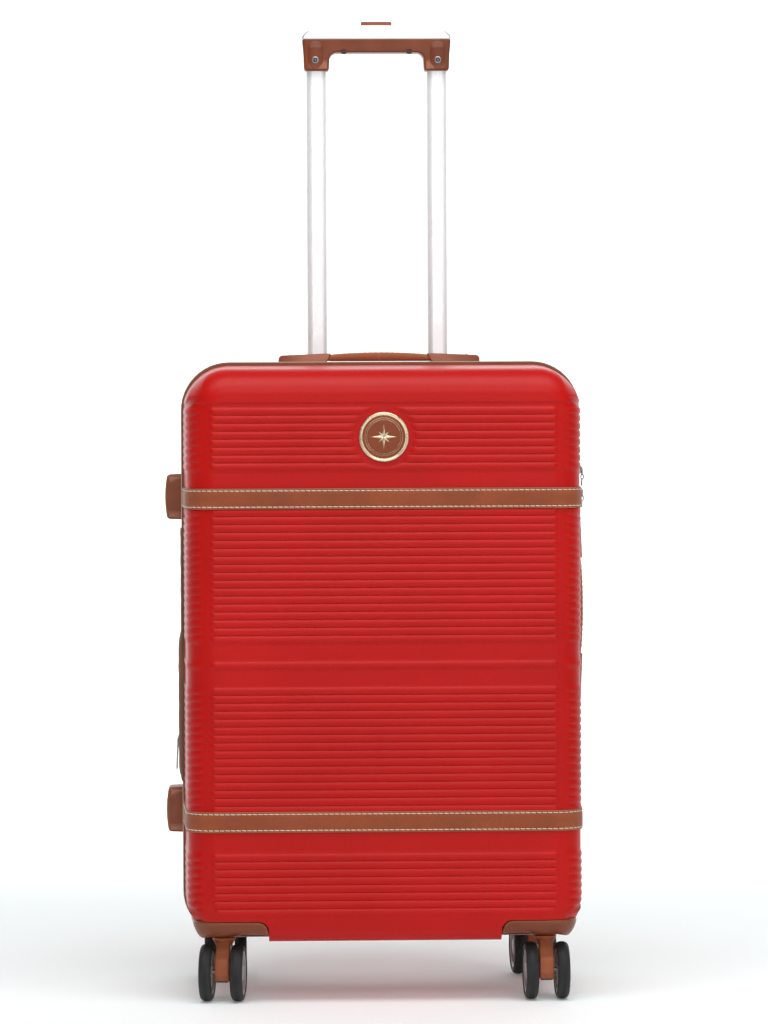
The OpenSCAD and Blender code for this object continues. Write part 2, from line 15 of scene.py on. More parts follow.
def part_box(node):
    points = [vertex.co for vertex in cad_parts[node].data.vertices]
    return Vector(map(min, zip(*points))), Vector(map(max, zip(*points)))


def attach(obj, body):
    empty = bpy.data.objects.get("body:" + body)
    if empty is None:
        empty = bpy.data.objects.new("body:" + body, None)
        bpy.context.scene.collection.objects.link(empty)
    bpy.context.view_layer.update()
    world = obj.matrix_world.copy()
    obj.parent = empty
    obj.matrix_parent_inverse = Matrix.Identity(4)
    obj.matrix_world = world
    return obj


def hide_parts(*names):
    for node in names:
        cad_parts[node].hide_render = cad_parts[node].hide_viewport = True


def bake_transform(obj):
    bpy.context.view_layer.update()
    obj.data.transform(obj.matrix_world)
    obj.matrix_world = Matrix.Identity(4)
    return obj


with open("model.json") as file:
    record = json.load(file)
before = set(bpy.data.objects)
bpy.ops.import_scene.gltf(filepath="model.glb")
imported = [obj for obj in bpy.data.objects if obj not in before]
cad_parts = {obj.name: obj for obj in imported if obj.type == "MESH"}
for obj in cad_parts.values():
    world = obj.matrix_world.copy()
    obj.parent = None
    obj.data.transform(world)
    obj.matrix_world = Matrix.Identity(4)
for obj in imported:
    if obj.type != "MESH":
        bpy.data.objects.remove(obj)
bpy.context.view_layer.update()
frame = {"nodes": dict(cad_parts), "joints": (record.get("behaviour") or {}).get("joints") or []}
scene = bpy.context.scene
MM = 0.001


def box_mm(node):
    """A CAD node's lowest and highest corner in millimetres."""
    low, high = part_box(node)
    return np.array(low) / MM, np.array(high) / MM


def joint(name):
    """A joint of the frame by its name."""
    return next(j for j in frame["joints"] if j["name"] == name)


def smooth(low, high, value):
    """0 below low, 1 above high and a smooth step between them; low may be the larger of the two."""
    t = min(1.0, max(0.0, (value - low) / (high - low)))
    return t * t * (3 - 2 * t)


# ---------------------------------------------------------------- driving sizes

CORNER_R = 48      # corner radius of the shells at their rim
EDGE_R = 30        # rounding between a side and the face
DRAFT = 4          # how far a side leans in from the rim to that rounding
WALL = 2.6         # how far the cut edges of a shell turn in
FACE_R = CORNER_R - DRAFT - EDGE_R
SHELL_LOW, SHELL_HIGH = box_mm("front_shell")
SIDE = SHELL_HIGH[0]
MID_Z = (SHELL_LOW[2] + SHELL_HIGH[2]) / 2
HALF_H = (SHELL_HIGH[2] - SHELL_LOW[2]) / 2
FLAT_X = SIDE - CORNER_R
FLAT_Z = HALF_H - CORNER_R
STRAPS = {name: sum(box_mm("front_strap_" + name)[i][2] for i in (0, 1)) / 2 for name in ("upper", "lower")}
STRAP_W = box_mm("front_strap_upper")[1][2] - box_mm("front_strap_upper")[0][2]
BADGE_LOW, BADGE_HIGH = box_mm("badge_rim")
BADGE_Z = (BADGE_LOW[2] + BADGE_HIGH[2]) / 2
BADGE_R = (BADGE_HIGH[0] - BADGE_LOW[0]) / 2

RIB_PITCH = 8.12
RIB_MID = MID_Z - 9                      # the single rib across the middle
RIB_HALF = 3.85                          # half a rib's width
RIB_H = 1.6
RIB_BASE = -0.55                         # the shell between its ribs lies under the CAD surface
RIB_GROUPS = ((25, 8), (3.25, 17), (0, 1), (-3.25 - 15, 16), (-24.25 - 7, 8))   # first rib in pitches, ribs
RIBS = [RIB_MID + (first + i) * RIB_PITCH for first, count in RIB_GROUPS for i in range(count)]
LEDGE_Z = RIB_MID + 33.05 * RIB_PITCH    # step above the top ribs
LEDGE_H = 1.1                            # it fades upwards
BADGE_CLEAR = BADGE_R + 6                # the ribs end this far from the badge's middle


# ---------------------------------------------------------------- camera, light and floor

# Fitted to the edges of the case and of its parts in the photo
CAMERA_AT = Vector((-0.1257, -4.479, 0.599))
CAMERA_YAW = math.radians(1.654)         # turned towards +X
CAMERA_PITCH = math.radians(-1.249)
CAMERA_ROLL = math.radians(-0.241)
CAMERA_LENS = 149.64


def make_camera():
    """Camera at the photo's angle, level apart from a small roll."""
    data = bpy.data.cameras.new("camera")
    data.lens = CAMERA_LENS
    data.sensor_width = 36
    data.clip_end = 60
    camera = bpy.data.objects.new("camera", data)
    scene.collection.objects.link(camera)
    camera.location = CAMERA_AT
    turn = Matrix.Rotation(-CAMERA_YAW, 4, "Z") @ Matrix.Rotation(math.pi / 2 + CAMERA_PITCH, 4, "X")
    camera.rotation_euler = (turn @ Matrix.Rotation(CAMERA_ROLL, 4, "Z")).to_euler()
    scene.camera = camera


def area_light(name, at, towards, size, power):
    """White softbox that looks from one place towards another."""
    data = bpy.data.lights.new(name, "AREA")
    data.shape = "RECTANGLE"
    data.size, data.size_y = size
    data.energy = power
    light = bpy.data.objects.new(name, data)
    scene.collection.objects.link(light)
    light.location = at
    light.rotation_euler = (Vector(towards) - Vector(at)).to_track_quat("-Z", "Y").to_euler()


def make_lights():
    """Soft light from above and in front, a little from behind, and a white world."""
    scene.view_settings.view_transform = "Standard"
    area_light("top_softbox", (0.1, -1.0, 2.9), (0, 0, 0.45), (3.0, 1.3), 54)
    area_light("front_softbox", (0.3, -3.5, 3.0), (0, 0, 0.35), (2.6, 1.4), 36)
    area_light("front_low", (0.5, -5.4, 1.0), (0, 0, 0.2), (2.4, 0.9), 20)
    area_light("front_right", (3.0, -3.4, 1.4), (0, 0, 0.4), (1.2, 2.0), 10)
    area_light("back_softbox", (0.9, 2.5, 2.2), (0, 0, 0.5), (2.0, 1.4), 7)
    world = bpy.data.worlds.new("studio")
    scene.world = world
    world.use_nodes = True
    background = world.node_tree.nodes["Background"]
    background.inputs["Color"].default_value = (1, 1, 1, 1)
    background.inputs["Strength"].default_value = 0.28


def make_floor():
    """Pale floor that curves up into a backdrop behind the case, and glows more towards it."""
    radius, near, far, half, top = 1.8, -12.0, 6.8, 12.0, 6.0
    line = [(near, 0.0), (far - radius, 0.0)]
    line += [(far - radius + radius * math.sin(a), radius - radius * math.cos(a))
             for a in (math.radians(9 * i) for i in range(1, 11))]
    line.append((far, top))
    verts = [(sx * half, y, z) for y, z in line for sx in (-1, 1)]
    faces = [(2 * i, 2 * i + 1, 2 * i + 3, 2 * i + 2) for i in range(len(line) - 1)]
    mesh = bpy.data.meshes.new("floor")
    mesh.from_pydata(verts, [], faces)
    mesh.shade_smooth()
    floor = bpy.data.objects.new("floor", mesh)
    scene.collection.objects.link(floor)
    material = bpy.data.materials.new("floor_white")
    material.use_nodes = True
    shader = material.node_tree.nodes["Principled BSDF"]
    shader.inputs["Base Color"].default_value = (0.885, 0.94, 0.942, 1)
    shader.inputs["Roughness"].default_value = 0.75
    shader.inputs["Emission Color"].default_value = (1, 1, 1, 1)
    nodes, links = material.node_tree.nodes, material.node_tree.links
    place, glow = nodes.new("ShaderNodeSeparateXYZ"), nodes.new("ShaderNodeMapRange")
    glow.interpolation_type = "SMOOTHSTEP"
    for key, value in (("From Min", 0.55), ("From Max", 2.4), ("To Min", 0.10), ("To Max", 0.85)):
        glow.inputs[key].default_value = value
    links.new(nodes.new("ShaderNodeTexCoord").outputs["Object"], place.inputs["Vector"])
    links.new(place.outputs["Y"], glow.inputs["Value"])
    links.new(glow.outputs["Result"], shader.inputs["Emission Strength"])
    mesh.materials.append(material)


# ---------------------------------------------------------------- materials

class Shader:
    """Builds one procedural material, node by node."""

    def __init__(self, name, roughness=0.5, metallic=0.0, **constants):
        self.material = bpy.data.materials.new(name)
        self.material.use_nodes = True
        self.nodes = self.material.node_tree.nodes
        self.links = self.material.node_tree.links
        self.bsdf = self.nodes["Principled BSDF"]
        self.bsdf.inputs["Roughness"].default_value = roughness
        self.bsdf.inputs["Metallic"].default_value = metallic
        for socket, value in constants.items():
            self.bsdf.inputs[socket.replace("_", " ")].default_value = value
        self.where = self.nodes.new("ShaderNodeTexCoord").outputs["Object"]
        self.height = None

    def add(self, kind, **values):
        node = self.nodes.new(kind)
        for key, value in values.items():
            if hasattr(node, key):
                setattr(node, key, value)
            else:
                node.inputs[key].default_value = value
        return node

    def wire(self, source, target):
        self.links.new(source, target)

    def stretched(self, scale):
        node = self.add("ShaderNodeMapping")
        node.inputs["Scale"].default_value = scale
        self.wire(self.where, node.inputs["Vector"])
        return node.outputs["Vector"]

    def noise(self, scale, detail=3.0, roughness=0.55, at=None):
        node = self.add("ShaderNodeTexNoise", Scale=scale, Detail=detail, Roughness=roughness)
        self.wire(at or self.where, node.inputs["Vector"])
        return node.outputs["Fac"]

    def cells(self, scale, feature="F1"):
        node = self.add("ShaderNodeTexVoronoi", feature=feature, Scale=scale)
        self.wire(self.where, node.inputs["Vector"])
        return node.outputs["Distance"]

    def waves(self, scale, direction, distortion=0.0, detail=0.0, at=None):
        node = self.add("ShaderNodeTexWave", bands_direction=direction, Scale=scale, Distortion=distortion,
                        Detail=detail)
        self.wire(at or self.where, node.inputs["Vector"])
        return node.outputs["Fac"]

    def ramp(self, value, stops):
        node = self.add("ShaderNodeValToRGB")
        ramp = node.color_ramp
        for i, (place, colour) in enumerate(stops):
            stop = ramp.elements[i] if i < 2 else ramp.elements.new(place)
            stop.position = place
            stop.color = (*colour, 1)
        self.wire(value, node.inputs["Fac"])
        return node.outputs["Color"]

    def span(self, value, low, high, start=0.0, stop=1.0):
        node = self.add("ShaderNodeMapRange")
        for key, number in (("From Min", start), ("From Max", stop), ("To Min", low), ("To Max", high)):
            node.inputs[key].default_value = number
        self.wire(value, node.inputs["Value"])
        return node.outputs["Result"]

    def math(self, kind, a, b):
        node = self.add("ShaderNodeMath", operation=kind)
        for i, value in enumerate((a, b)):
            if isinstance(value, (int, float)):
                node.inputs[i].default_value = value
            else:
                self.wire(value, node.inputs[i])
        return node.outputs["Value"]

    def blend(self, factor, first, second, kind="MIX"):
        node = self.add("ShaderNodeMix", data_type="RGBA", blend_type=kind)
        for socket, value in ((node.inputs[0], factor), (node.inputs[6], first), (node.inputs[7], second)):
            if isinstance(value, tuple):
                socket.default_value = (*value, 1)
            elif isinstance(value, (int, float)):
                socket.default_value = value
            else:
                self.wire(value, socket)
        return node.outputs[2]

    def colour(self, value):
        self.wire(value, self.bsdf.inputs["Base Color"])

    def rough(self, value):
        self.wire(value, self.bsdf.inputs["Roughness"])

    def bump(self, value, distance, strength=0.5):
        """Adds one bump on top of those before it; distance is in metres."""
        node = self.add("ShaderNodeBump", Strength=strength, Distance=distance)
        self.wire(value, node.inputs["Height"])
        if self.height is not None:
            self.wire(self.height, node.inputs["Normal"])
        self.height = node.outputs["Normal"]
        self.wire(self.height, self.bsdf.inputs["Normal"])

    def worn(self, base, edge, low=0.52, high=0.6):
        """Lightens the colour along convex edges."""
        pointiness = self.add("ShaderNodeNewGeometry").outputs["Pointiness"]
        return self.blend(self.span(pointiness, 0, 1, low, high), base, edge)


def red_shell_material():
    """Glossy red ABS with a fine pebbled grain, faint scuffs and a clear top."""
    s = Shader("red_shell", Coat_Weight=0.02, Coat_Roughness=0.25, Specular_IOR_Level=0.17)
    tone = s.ramp(s.noise(5, 4), [(0.3, (0.44, 0.0040, 0.0025)), (0.7, (0.52, 0.0055, 0.0035))])
    fine = s.noise(420, 3)
    tone = s.blend(s.span(fine, 0, 0.22, 0.45, 0.8), tone, (0.33, 0.005, 0.006))
    s.colour(s.worn(tone, (0.62, 0.06, 0.05), 0.54, 0.68))
    scuffs = s.noise(60, 6, 0.75, s.stretched((1, 1, 7)))
    s.rough(s.math("ADD", s.span(fine, 0.30, 0.42), s.span(scuffs, 0.0, 0.10, 0.55, 0.75)))
    s.bump(s.cells(900, "SMOOTH_F1"), 0.00012, 0.35)
    s.bump(s.noise(140, 2), 0.00015, 0.25)
    return s.material


def leather_material(name, dark, mid, light, grain=520):
    """Pebbled leather: cells and creases in the bump, mottled colour, paler rubbed edges."""
    s = Shader(name, Specular_IOR_Level=0.3, Sheen_Weight=0.05, Sheen_Roughness=0.4)
    mottle = s.noise(26, 5, 0.6)
    tone = s.ramp(mottle, [(0.25, dark), (0.75, mid)])
    pores = s.cells(grain, "F1")
    tone = s.blend(s.span(pores, 0.0, 0.35, 0.25, 0.7), tone, dark)
    s.colour(s.worn(tone, light, 0.51, 0.6))
    s.rough(s.span(s.math("MULTIPLY", pores, mottle), 0.42, 0.6, 0.05, 0.4))
    s.bump(pores, 0.00016, 0.5)
    s.bump(s.noise(grain * 0.35, 5, 0.65), 0.0002, 0.35)
    return s.material


def plastic_material(name, dark, mid, light, grain=1100, roughness=(0.36, 0.5)):
    """Moulded plastic with an etched grain, a slight flow mottle and paler handled edges."""
    s = Shader(name, Specular_IOR_Level=0.36)
    tone = s.ramp(s.noise(34, 4), [(0.3, dark), (0.7, mid)])
    s.colour(s.worn(tone, light, 0.52, 0.62))
    speck = s.noise(grain, 2)
    s.rough(s.span(speck, *roughness, 0.3, 0.7))
    s.bump(s.cells(grain, "SMOOTH_F1"), 0.00007, 0.5)
    return s.material


def woven_material(name, dark, mid, light, threads=1500):
    """Plain weave from two crossed sets of threads, with slubs and uneven dye."""
    s = Shader(name, 0.82, Sheen_Weight=0.35, Sheen_Roughness=0.5, Specular_IOR_Level=0.2)
    across = s.waves(threads, "DIAGONAL", 0.6, 1)
    along = s.waves(threads, "Z", 0.6, 1)
    cloth = s.math("MAXIMUM", across, along)
    dye = s.noise(18, 4)
    tone = s.ramp(dye, [(0.3, dark), (0.7, mid)])
    s.colour(s.blend(s.span(cloth, 0.0, 0.5, 0.55, 1.0), tone, light))
    s.bump(cloth, 0.00018, 0.6)
    s.bump(s.noise(300, 3), 0.0002, 0.3)
    return s.material


def lining_material():
    """Thin polyester lining: twill threads under a printed diamond lattice."""
    s = Shader("lining_cloth", 0.62, Sheen_Weight=0.4, Sheen_Roughness=0.35, Specular_IOR_Level=0.3)
    lattice = []
    for turn in (1, -1):
        node = s.add("ShaderNodeMapping")
        node.inputs["Rotation"].default_value = (0, turn * math.radians(45), 0)
        s.wire(s.where, node.inputs["Vector"])
        lattice.append(s.waves(22, "X", 0.15, 0, node.outputs["Vector"]))
    line = s.math("MAXIMUM", *lattice)
    twill = s.waves(900, "DIAGONAL", 0.4)
    tone = s.ramp(s.noise(12, 3), [(0.3, (0.085, 0.062, 0.048)), (0.7, (0.115, 0.085, 0.066))])
    s.colour(s.blend(s.span(line, 0.0, 0.55, 0.965, 0.99), tone, (0.24, 0.17, 0.12)))
    s.bump(twill, 0.00012, 0.4)
    s.bump(s.noise(40, 3), 0.0009, 0.35)
    return s.material


def metal_material(name, dark, light, roughness=(0.2, 0.34), brushed=(1, 1, 1), scale=300, metallic=1.0):
    """Metal with brushed streaks, handling smudges and fine scratches."""
    s = Shader(name, metallic=metallic)
    streaks = s.noise(scale, 4, 0.6, s.stretched(brushed))
    s.colour(s.ramp(streaks, [(0.3, dark), (0.7, light)]))
    smudge = s.noise(30, 3)
    s.rough(s.math("ADD", s.span(streaks, *roughness, 0.3, 0.7), s.span(smudge, 0.0, 0.08, 0.4, 0.8)))
    s.bump(streaks, 0.00003, 0.3)
    return s.material


def rubber_material():
    """Dusty black rubber."""
    s = Shader("tyre_rubber", Specular_IOR_Level=0.35)
    dust = s.noise(90, 5, 0.7)
    s.colour(s.ramp(dust, [(0.35, (0.014, 0.014, 0.015)), (0.75, (0.03, 0.029, 0.029))]))
    s.rough(s.span(dust, 0.5, 0.72, 0.3, 0.7))
    s.bump(s.noise(1600, 2), 0.00006, 0.5)
    return s.material


def thread_material():
    """Twisted cream thread."""
    s = Shader("cream_thread", 0.7, Sheen_Weight=0.3, Sheen_Roughness=0.4)
    twist = s.waves(2600, "DIAGONAL", 0.3)
    s.colour(s.ramp(twist, [(0.0, (0.62, 0.54, 0.42)), (0.6, (0.88, 0.82, 0.70))]))
    s.bump(twist, 0.00008, 0.6)
    return s.material


MATERIALS = {
    "red": red_shell_material(),
    "leather": leather_material("tan_leather", (0.22, 0.046, 0.013), (0.335, 0.072, 0.021),
                                (0.47, 0.16, 0.07)),
    "leather_edge": leather_material("leather_edge", (0.10, 0.03, 0.014), (0.15, 0.045, 0.02),
                                     (0.25, 0.09, 0.04), 900),
    "badge_leather": leather_material("badge_leather", (0.20, 0.040, 0.012), (0.27, 0.058, 0.018),
                                      (0.36, 0.10, 0.04), 900),
    "tan": plastic_material("tan_plastic", (0.215, 0.060, 0.027), (0.29, 0.084, 0.038), (0.44, 0.18, 0.11)),
    "brown": plastic_material("brown_plastic", (0.145, 0.030, 0.008), (0.200, 0.042, 0.012),
                              (0.33, 0.12, 0.06), roughness=(0.27, 0.38)),
    "fork": plastic_material("fork_plastic", (0.38, 0.095, 0.034), (0.50, 0.135, 0.05), (0.6, 0.22, 0.11)),
    "zip": woven_material("zip_fabric", (0.15, 0.058, 0.032), (0.22, 0.088, 0.05), (0.30, 0.14, 0.085)),
    "piping": woven_material("piping_cloth", (0.42, 0.31, 0.20), (0.62, 0.50, 0.35), (0.75, 0.64, 0.47),
                             2200),
    "webbing": woven_material("black_webbing", (0.012, 0.012, 0.013), (0.028, 0.027, 0.027),
                              (0.06, 0.058, 0.056), 1300),
    "lining": lining_material(),
    "thread": thread_material(),
    "silver": metal_material("silver_tube", (0.90, 0.90, 0.91), (0.96, 0.96, 0.965), (0.24, 0.36),
                             (60, 60, 1), 40, 0.35),
    "cover": metal_material("silver_cover", (0.88, 0.88, 0.89), (0.95, 0.95, 0.955), (0.3, 0.42),
                            (1, 40, 40), 60, 0.3),
    # darker copy of the silver cover for its sloped ends: painted shade
    "cover_end_painted_shade": metal_material("cover_end_painted_shade", (0.30, 0.30, 0.31), (0.42, 0.42, 0.43), (0.34, 0.46),
                                (1, 40, 40), 60, 0.8),
    "steel": metal_material("gunmetal", (0.26, 0.25, 0.28), (0.40, 0.39, 0.42), (0.24, 0.38)),
    "chrome": metal_material("bright_zip_metal", (0.55, 0.53, 0.52), (0.78, 0.76, 0.73), (0.14, 0.26)),
    "gold": metal_material("badge_metal", (0.62, 0.48, 0.31), (0.83, 0.70, 0.50), (0.2, 0.32), scale=240),
    "hub": plastic_material("hub_grey", (0.28, 0.27, 0.265), (0.36, 0.35, 0.345), (0.5, 0.49, 0.48), 1500,
                            (0.3, 0.42)),
    "black": plastic_material("black_plastic", (0.012, 0.012, 0.013), (0.022, 0.022, 0.023),
                              (0.06, 0.06, 0.06)),
    "tyre": rubber_material(),
}


# ---------------------------------------------------------------- mesh helpers

def build(name, verts, faces, material, body=None, smooth_faces=True, merge=0.0):
    """A mesh object from vertices in millimetres; vertices closer than merge become one."""
    mesh = bpy.data.meshes.new(name)
    mesh.from_pydata([(x * MM, y * MM, z * MM) for x, y, z in verts], [], faces)
    if merge:
        bm = bmesh.new()
        bm.from_mesh(mesh)
        bmesh.ops.remove_doubles(bm, verts=bm.verts, dist=merge * MM)
        bm.to_mesh(mesh)
        bm.free()
    return finish_mesh(name, mesh, material, body, smooth_faces)


def finish_mesh(name, mesh, material, body, smooth_faces=True, sharp=42):
    """Gives a mesh its material, shading and object, and lets it ride on a body if one is named."""
    mesh.name = name
    mesh.materials.append(MATERIALS[material])
    obj = bpy.data.objects.new(name, mesh)
    scene.collection.objects.link(obj)
    if smooth_faces:
        mesh.shade_smooth()
        mesh.set_sharp_from_angle(angle=math.radians(sharp))
    if body:
        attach(obj, body)
    return obj


def dress(slot, *pieces, node=None):
    """Hides the CAD node, if one is named, that the pieces stand in for; slot and pieces are not used."""
    if node:
        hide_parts(node)


def face_outwards(obj):
    """Turns all faces of a closed piece outwards."""
    bm = bmesh.new()
    bm.from_mesh(obj.data)
    bmesh.ops.recalc_face_normals(bm, faces=bm.faces)
    bm.to_mesh(obj.data)
    bm.free()


def from_bmesh(name, bm, material, body):
    """Turns a bmesh in millimetres into an object in metres."""
    bmesh.ops.scale(bm, vec=(MM, MM, MM), verts=bm.verts)
    bmesh.ops.recalc_face_normals(bm, faces=bm.faces)
    mesh = bpy.data.meshes.new(name)
    bm.to_mesh(mesh)
    bm.free()
    return finish_mesh(name, mesh, material, body)


def grid_faces(rows, columns, closed=False, joined=False):
    """Quads between lines of points; closed lines are rings, and joined rows end where they began."""
    faces = []
    for r in range(rows if joined else rows - 1):
        a, b = r * columns, (r + 1) % rows * columns
        for c in range(columns if closed else columns - 1):
            d = (c + 1) % columns
            faces.append((a + c, a + d, b + d, b + c))
    return faces


def rounded(points, radii, steps=6):
    """Outline whose corners are arcs; "radii" is one number or one for each corner."""
    if isinstance(radii, (int, float)):
        radii = [radii] * len(points)
    out = []
    count = len(points)
    for i, radius in enumerate(radii):
        here = Vector(points[i])
        back = Vector(points[i - 1]) - here
        ahead = Vector(points[(i + 1) % count]) - here
        if radius <= 0:
            out.append(tuple(here))
            continue
        half = back.angle(ahead) / 2
        reach = min(radius / math.tan(half), 0.49 * back.length, 0.49 * ahead.length)
        radius = reach * math.tan(half)
        first, last = here + back.normalized() * reach, here + ahead.normalized() * reach
        centre = here + (back.normalized() + ahead.normalized()).normalized() * radius / math.sin(half)
        for k in range(steps + 1):
            spot = first.lerp(last, k / steps) - centre
            out.append(tuple(centre + spot.normalized() * radius))
    return out


def slab_bmesh(outline, low, high, place, bevel=1.0, segments=3):
    """Outline extruded from low to high, its two rims bevelled; place(u, v, w) gives the point."""
    bm = bmesh.new()
    bottom = [bm.verts.new(place(u, v, low)) for u, v in outline]
    top = [bm.verts.new(place(u, v, high)) for u, v in outline]
    bm.faces.new(bottom[::-1])
    bm.faces.new(top)
    count = len(outline)
    for i in range(count):
        j = (i + 1) % count
        bm.faces.new((bottom[i], bottom[j], top[j], top[i]))
    bmesh.ops.recalc_face_normals(bm, faces=bm.faces)
    if bevel:
        rims = [e for e in bm.edges if any(len(f.verts) == count for f in e.link_faces)]
        bmesh.ops.bevel(bm, geom=rims, offset=bevel, segments=segments, profile=0.5, affect="EDGES",
                        clamp_overlap=True)
    return bm


def along_y(u, v, w):
    """Outline in X and Z, extruded along Y."""
    return (u, w, v)


def grid_bmesh(rows, merge):
    """Surface through rows of points; points closer than merge become one."""
    bm = bmesh.new()
    verts = [bm.verts.new(p) for row in rows for p in row]
    for face in grid_faces(len(rows), len(rows[0])):
        bm.faces.new([verts[i] for i in face])
    bmesh.ops.remove_doubles(bm, verts=bm.verts, dist=merge)
    return bm


def rectangle(u0, v0, u1, v1):
    """Corners of a rectangle, from two that face each other."""
    return [(u0, v0), (u1, v0), (u1, v1), (u0, v1)]


def along_z(u, v, w):
    """Outline in X and Y, extruded along Z."""
    return (u, v, w)


def slab(name, outline, low, high, place, material, body, bevel=1.0, segments=3):
    """A piece made of one extruded outline."""
    return from_bmesh(name, slab_bmesh(outline, low, high, place, bevel, segments), material, body)


def lathe(profile, centre, axis, steps=64):
    """Vertices and faces of a profile of (radius, height) turned about an axis through centre."""
    axis = Vector(axis).normalized()
    side = axis.orthogonal().normalized()
    other = axis.cross(side)
    verts = []
    for radius, height in profile:
        for k in range(steps):
            a = 2 * math.pi * k / steps
            verts.append(Vector(centre) + axis * height + (side * math.cos(a) + other * math.sin(a)) * radius)
    return verts, grid_faces(len(profile), steps, closed=True)


def turned(name, profile, centre, axis, material, body, steps=64):
    """A turned piece; points of the profile on the axis are merged into one."""
    verts, faces = lathe(profile, centre, axis, steps)
    return build(name, verts, faces, material, body, merge=0.001)


def frames_along(path, closed=False, up=None):
    """Tangent and two normals at each point of a path, without twist."""
    count = len(path)
    points = [Vector(p) for p in path]
    out = []
    normal = None
    for i, p in enumerate(points):
        ahead = points[(i + 1) % count] if closed or i < count - 1 else p
        back = points[i - 1] if closed or i > 0 else p
        tangent = (ahead - back).normalized()
        if up is not None:
            normal = (Vector(up) - tangent * tangent.dot(Vector(up))).normalized()
        elif normal is None:
            normal = tangent.orthogonal().normalized()
        else:
            normal = (normal - tangent * tangent.dot(normal)).normalized()
        out.append((p, tangent, normal, tangent.cross(normal)))
    return out


def tube_mesh(path, radius, sides=10, closed=False, flat=1.0, up=None):
    """A round or flattened wire along a path, with rounded ends when it is open."""
    rings = frames_along(path, closed, up)
    radii = [radius] * len(rings)
    if not closed:
        first, last = rings[0], rings[-1]
        rings = [(first[0] - first[1] * radius * 0.7, *first[1:]), *rings,
                 (last[0] + last[1] * radius * 0.7, *last[1:])]
        radii = [radius * 0.35] + radii + [radius * 0.35]
    verts = []
    for (p, _, n, b), r in zip(rings, radii):
        for k in range(sides):
            a = 2 * math.pi * k / sides
            verts.append(p + n * math.cos(a) * r + b * math.sin(a) * r * flat)
    faces = grid_faces(len(rings), sides, closed=True, joined=closed)
    if not closed:
        faces.append(tuple(range(sides))[::-1])
        faces.append(tuple(range(len(verts) - sides, len(verts))))
    return verts, faces


def walk(path, step, start):
    """Equal steps along a path of (point, outward) pairs: the point, the way along and the way outward."""
    walked, next_at = 0.0, start
    for (p, n), (q, m) in zip(path, path[1:]):
        length = (q - p).length
        while next_at < walked + length:
            t = (next_at - walked) / length
            yield p.lerp(q, t), (q - p).normalized(), n.lerp(m, t)
            next_at += step
        walked += length


def wire(name, path, radius, material, body, closed=False, sides=10, flat=1.0, up=None):
    """A piece made of one wire along a path."""
    verts, faces = tube_mesh(path, radius, sides, closed, flat, up)
    return build(name, verts, faces, material, body)


STITCH_LONG, THREAD_R = 4.1, 0.42


class Heap:
    """Collects many small closed shapes into one mesh."""

    def __init__(self):
        self.verts, self.faces = [], []

    def add(self, verts, faces):
        start = len(self.verts)
        self.verts += verts
        self.faces += [tuple(i + start for i in f) for f in faces]

    def brick(self, centre, x_axis, y_axis, z_axis, size, taper=0.75):
        """A small block with a narrower top."""
        verts = []
        for sz, scale in ((-1, 1.0), (1, taper)):
            for sx, sy in ((-1, -1), (1, -1), (1, 1), (-1, 1)):
                verts.append(Vector(centre) + x_axis * sx * size[0] / 2 * scale
                             + y_axis * sy * size[1] / 2 * scale + z_axis * sz * size[2] / 2)
        self.add(verts, [(3, 2, 1, 0), (4, 5, 6, 7), (0, 1, 5, 4), (1, 2, 6, 5), (2, 3, 7, 6), (3, 0, 4, 7)])

    def stitch(self, centre, along, out):
        """One stitch: a short thread that dips into the leather at both ends."""
        side = along.cross(out)
        path = [centre + along * STITCH_LONG * t + out * (0.28 * (1 - (2 * t) ** 4) - 0.06)
                + side * 0.12 * math.sin(math.pi * t) for t in (-0.5, -0.3, 0.0, 0.3, 0.5)]
        verts, faces = tube_mesh(path, THREAD_R, 6, up=out)
        self.add(verts, faces)

    def make(self, name, material, body, smooth_faces=True):
        return build(name, self.verts, self.faces, material, body, smooth_faces)


# ---------------------------------------------------------------- shells

def past_flat(z):
    """How far the height z lies past the straight part of the sides, and on which side of the middle."""
    return max(0.0, abs(z - MID_Z) - FLAT_Z), math.copysign(1, z - MID_Z)


GIRDLE_STEP = 6.0       # between points along a strap on the face


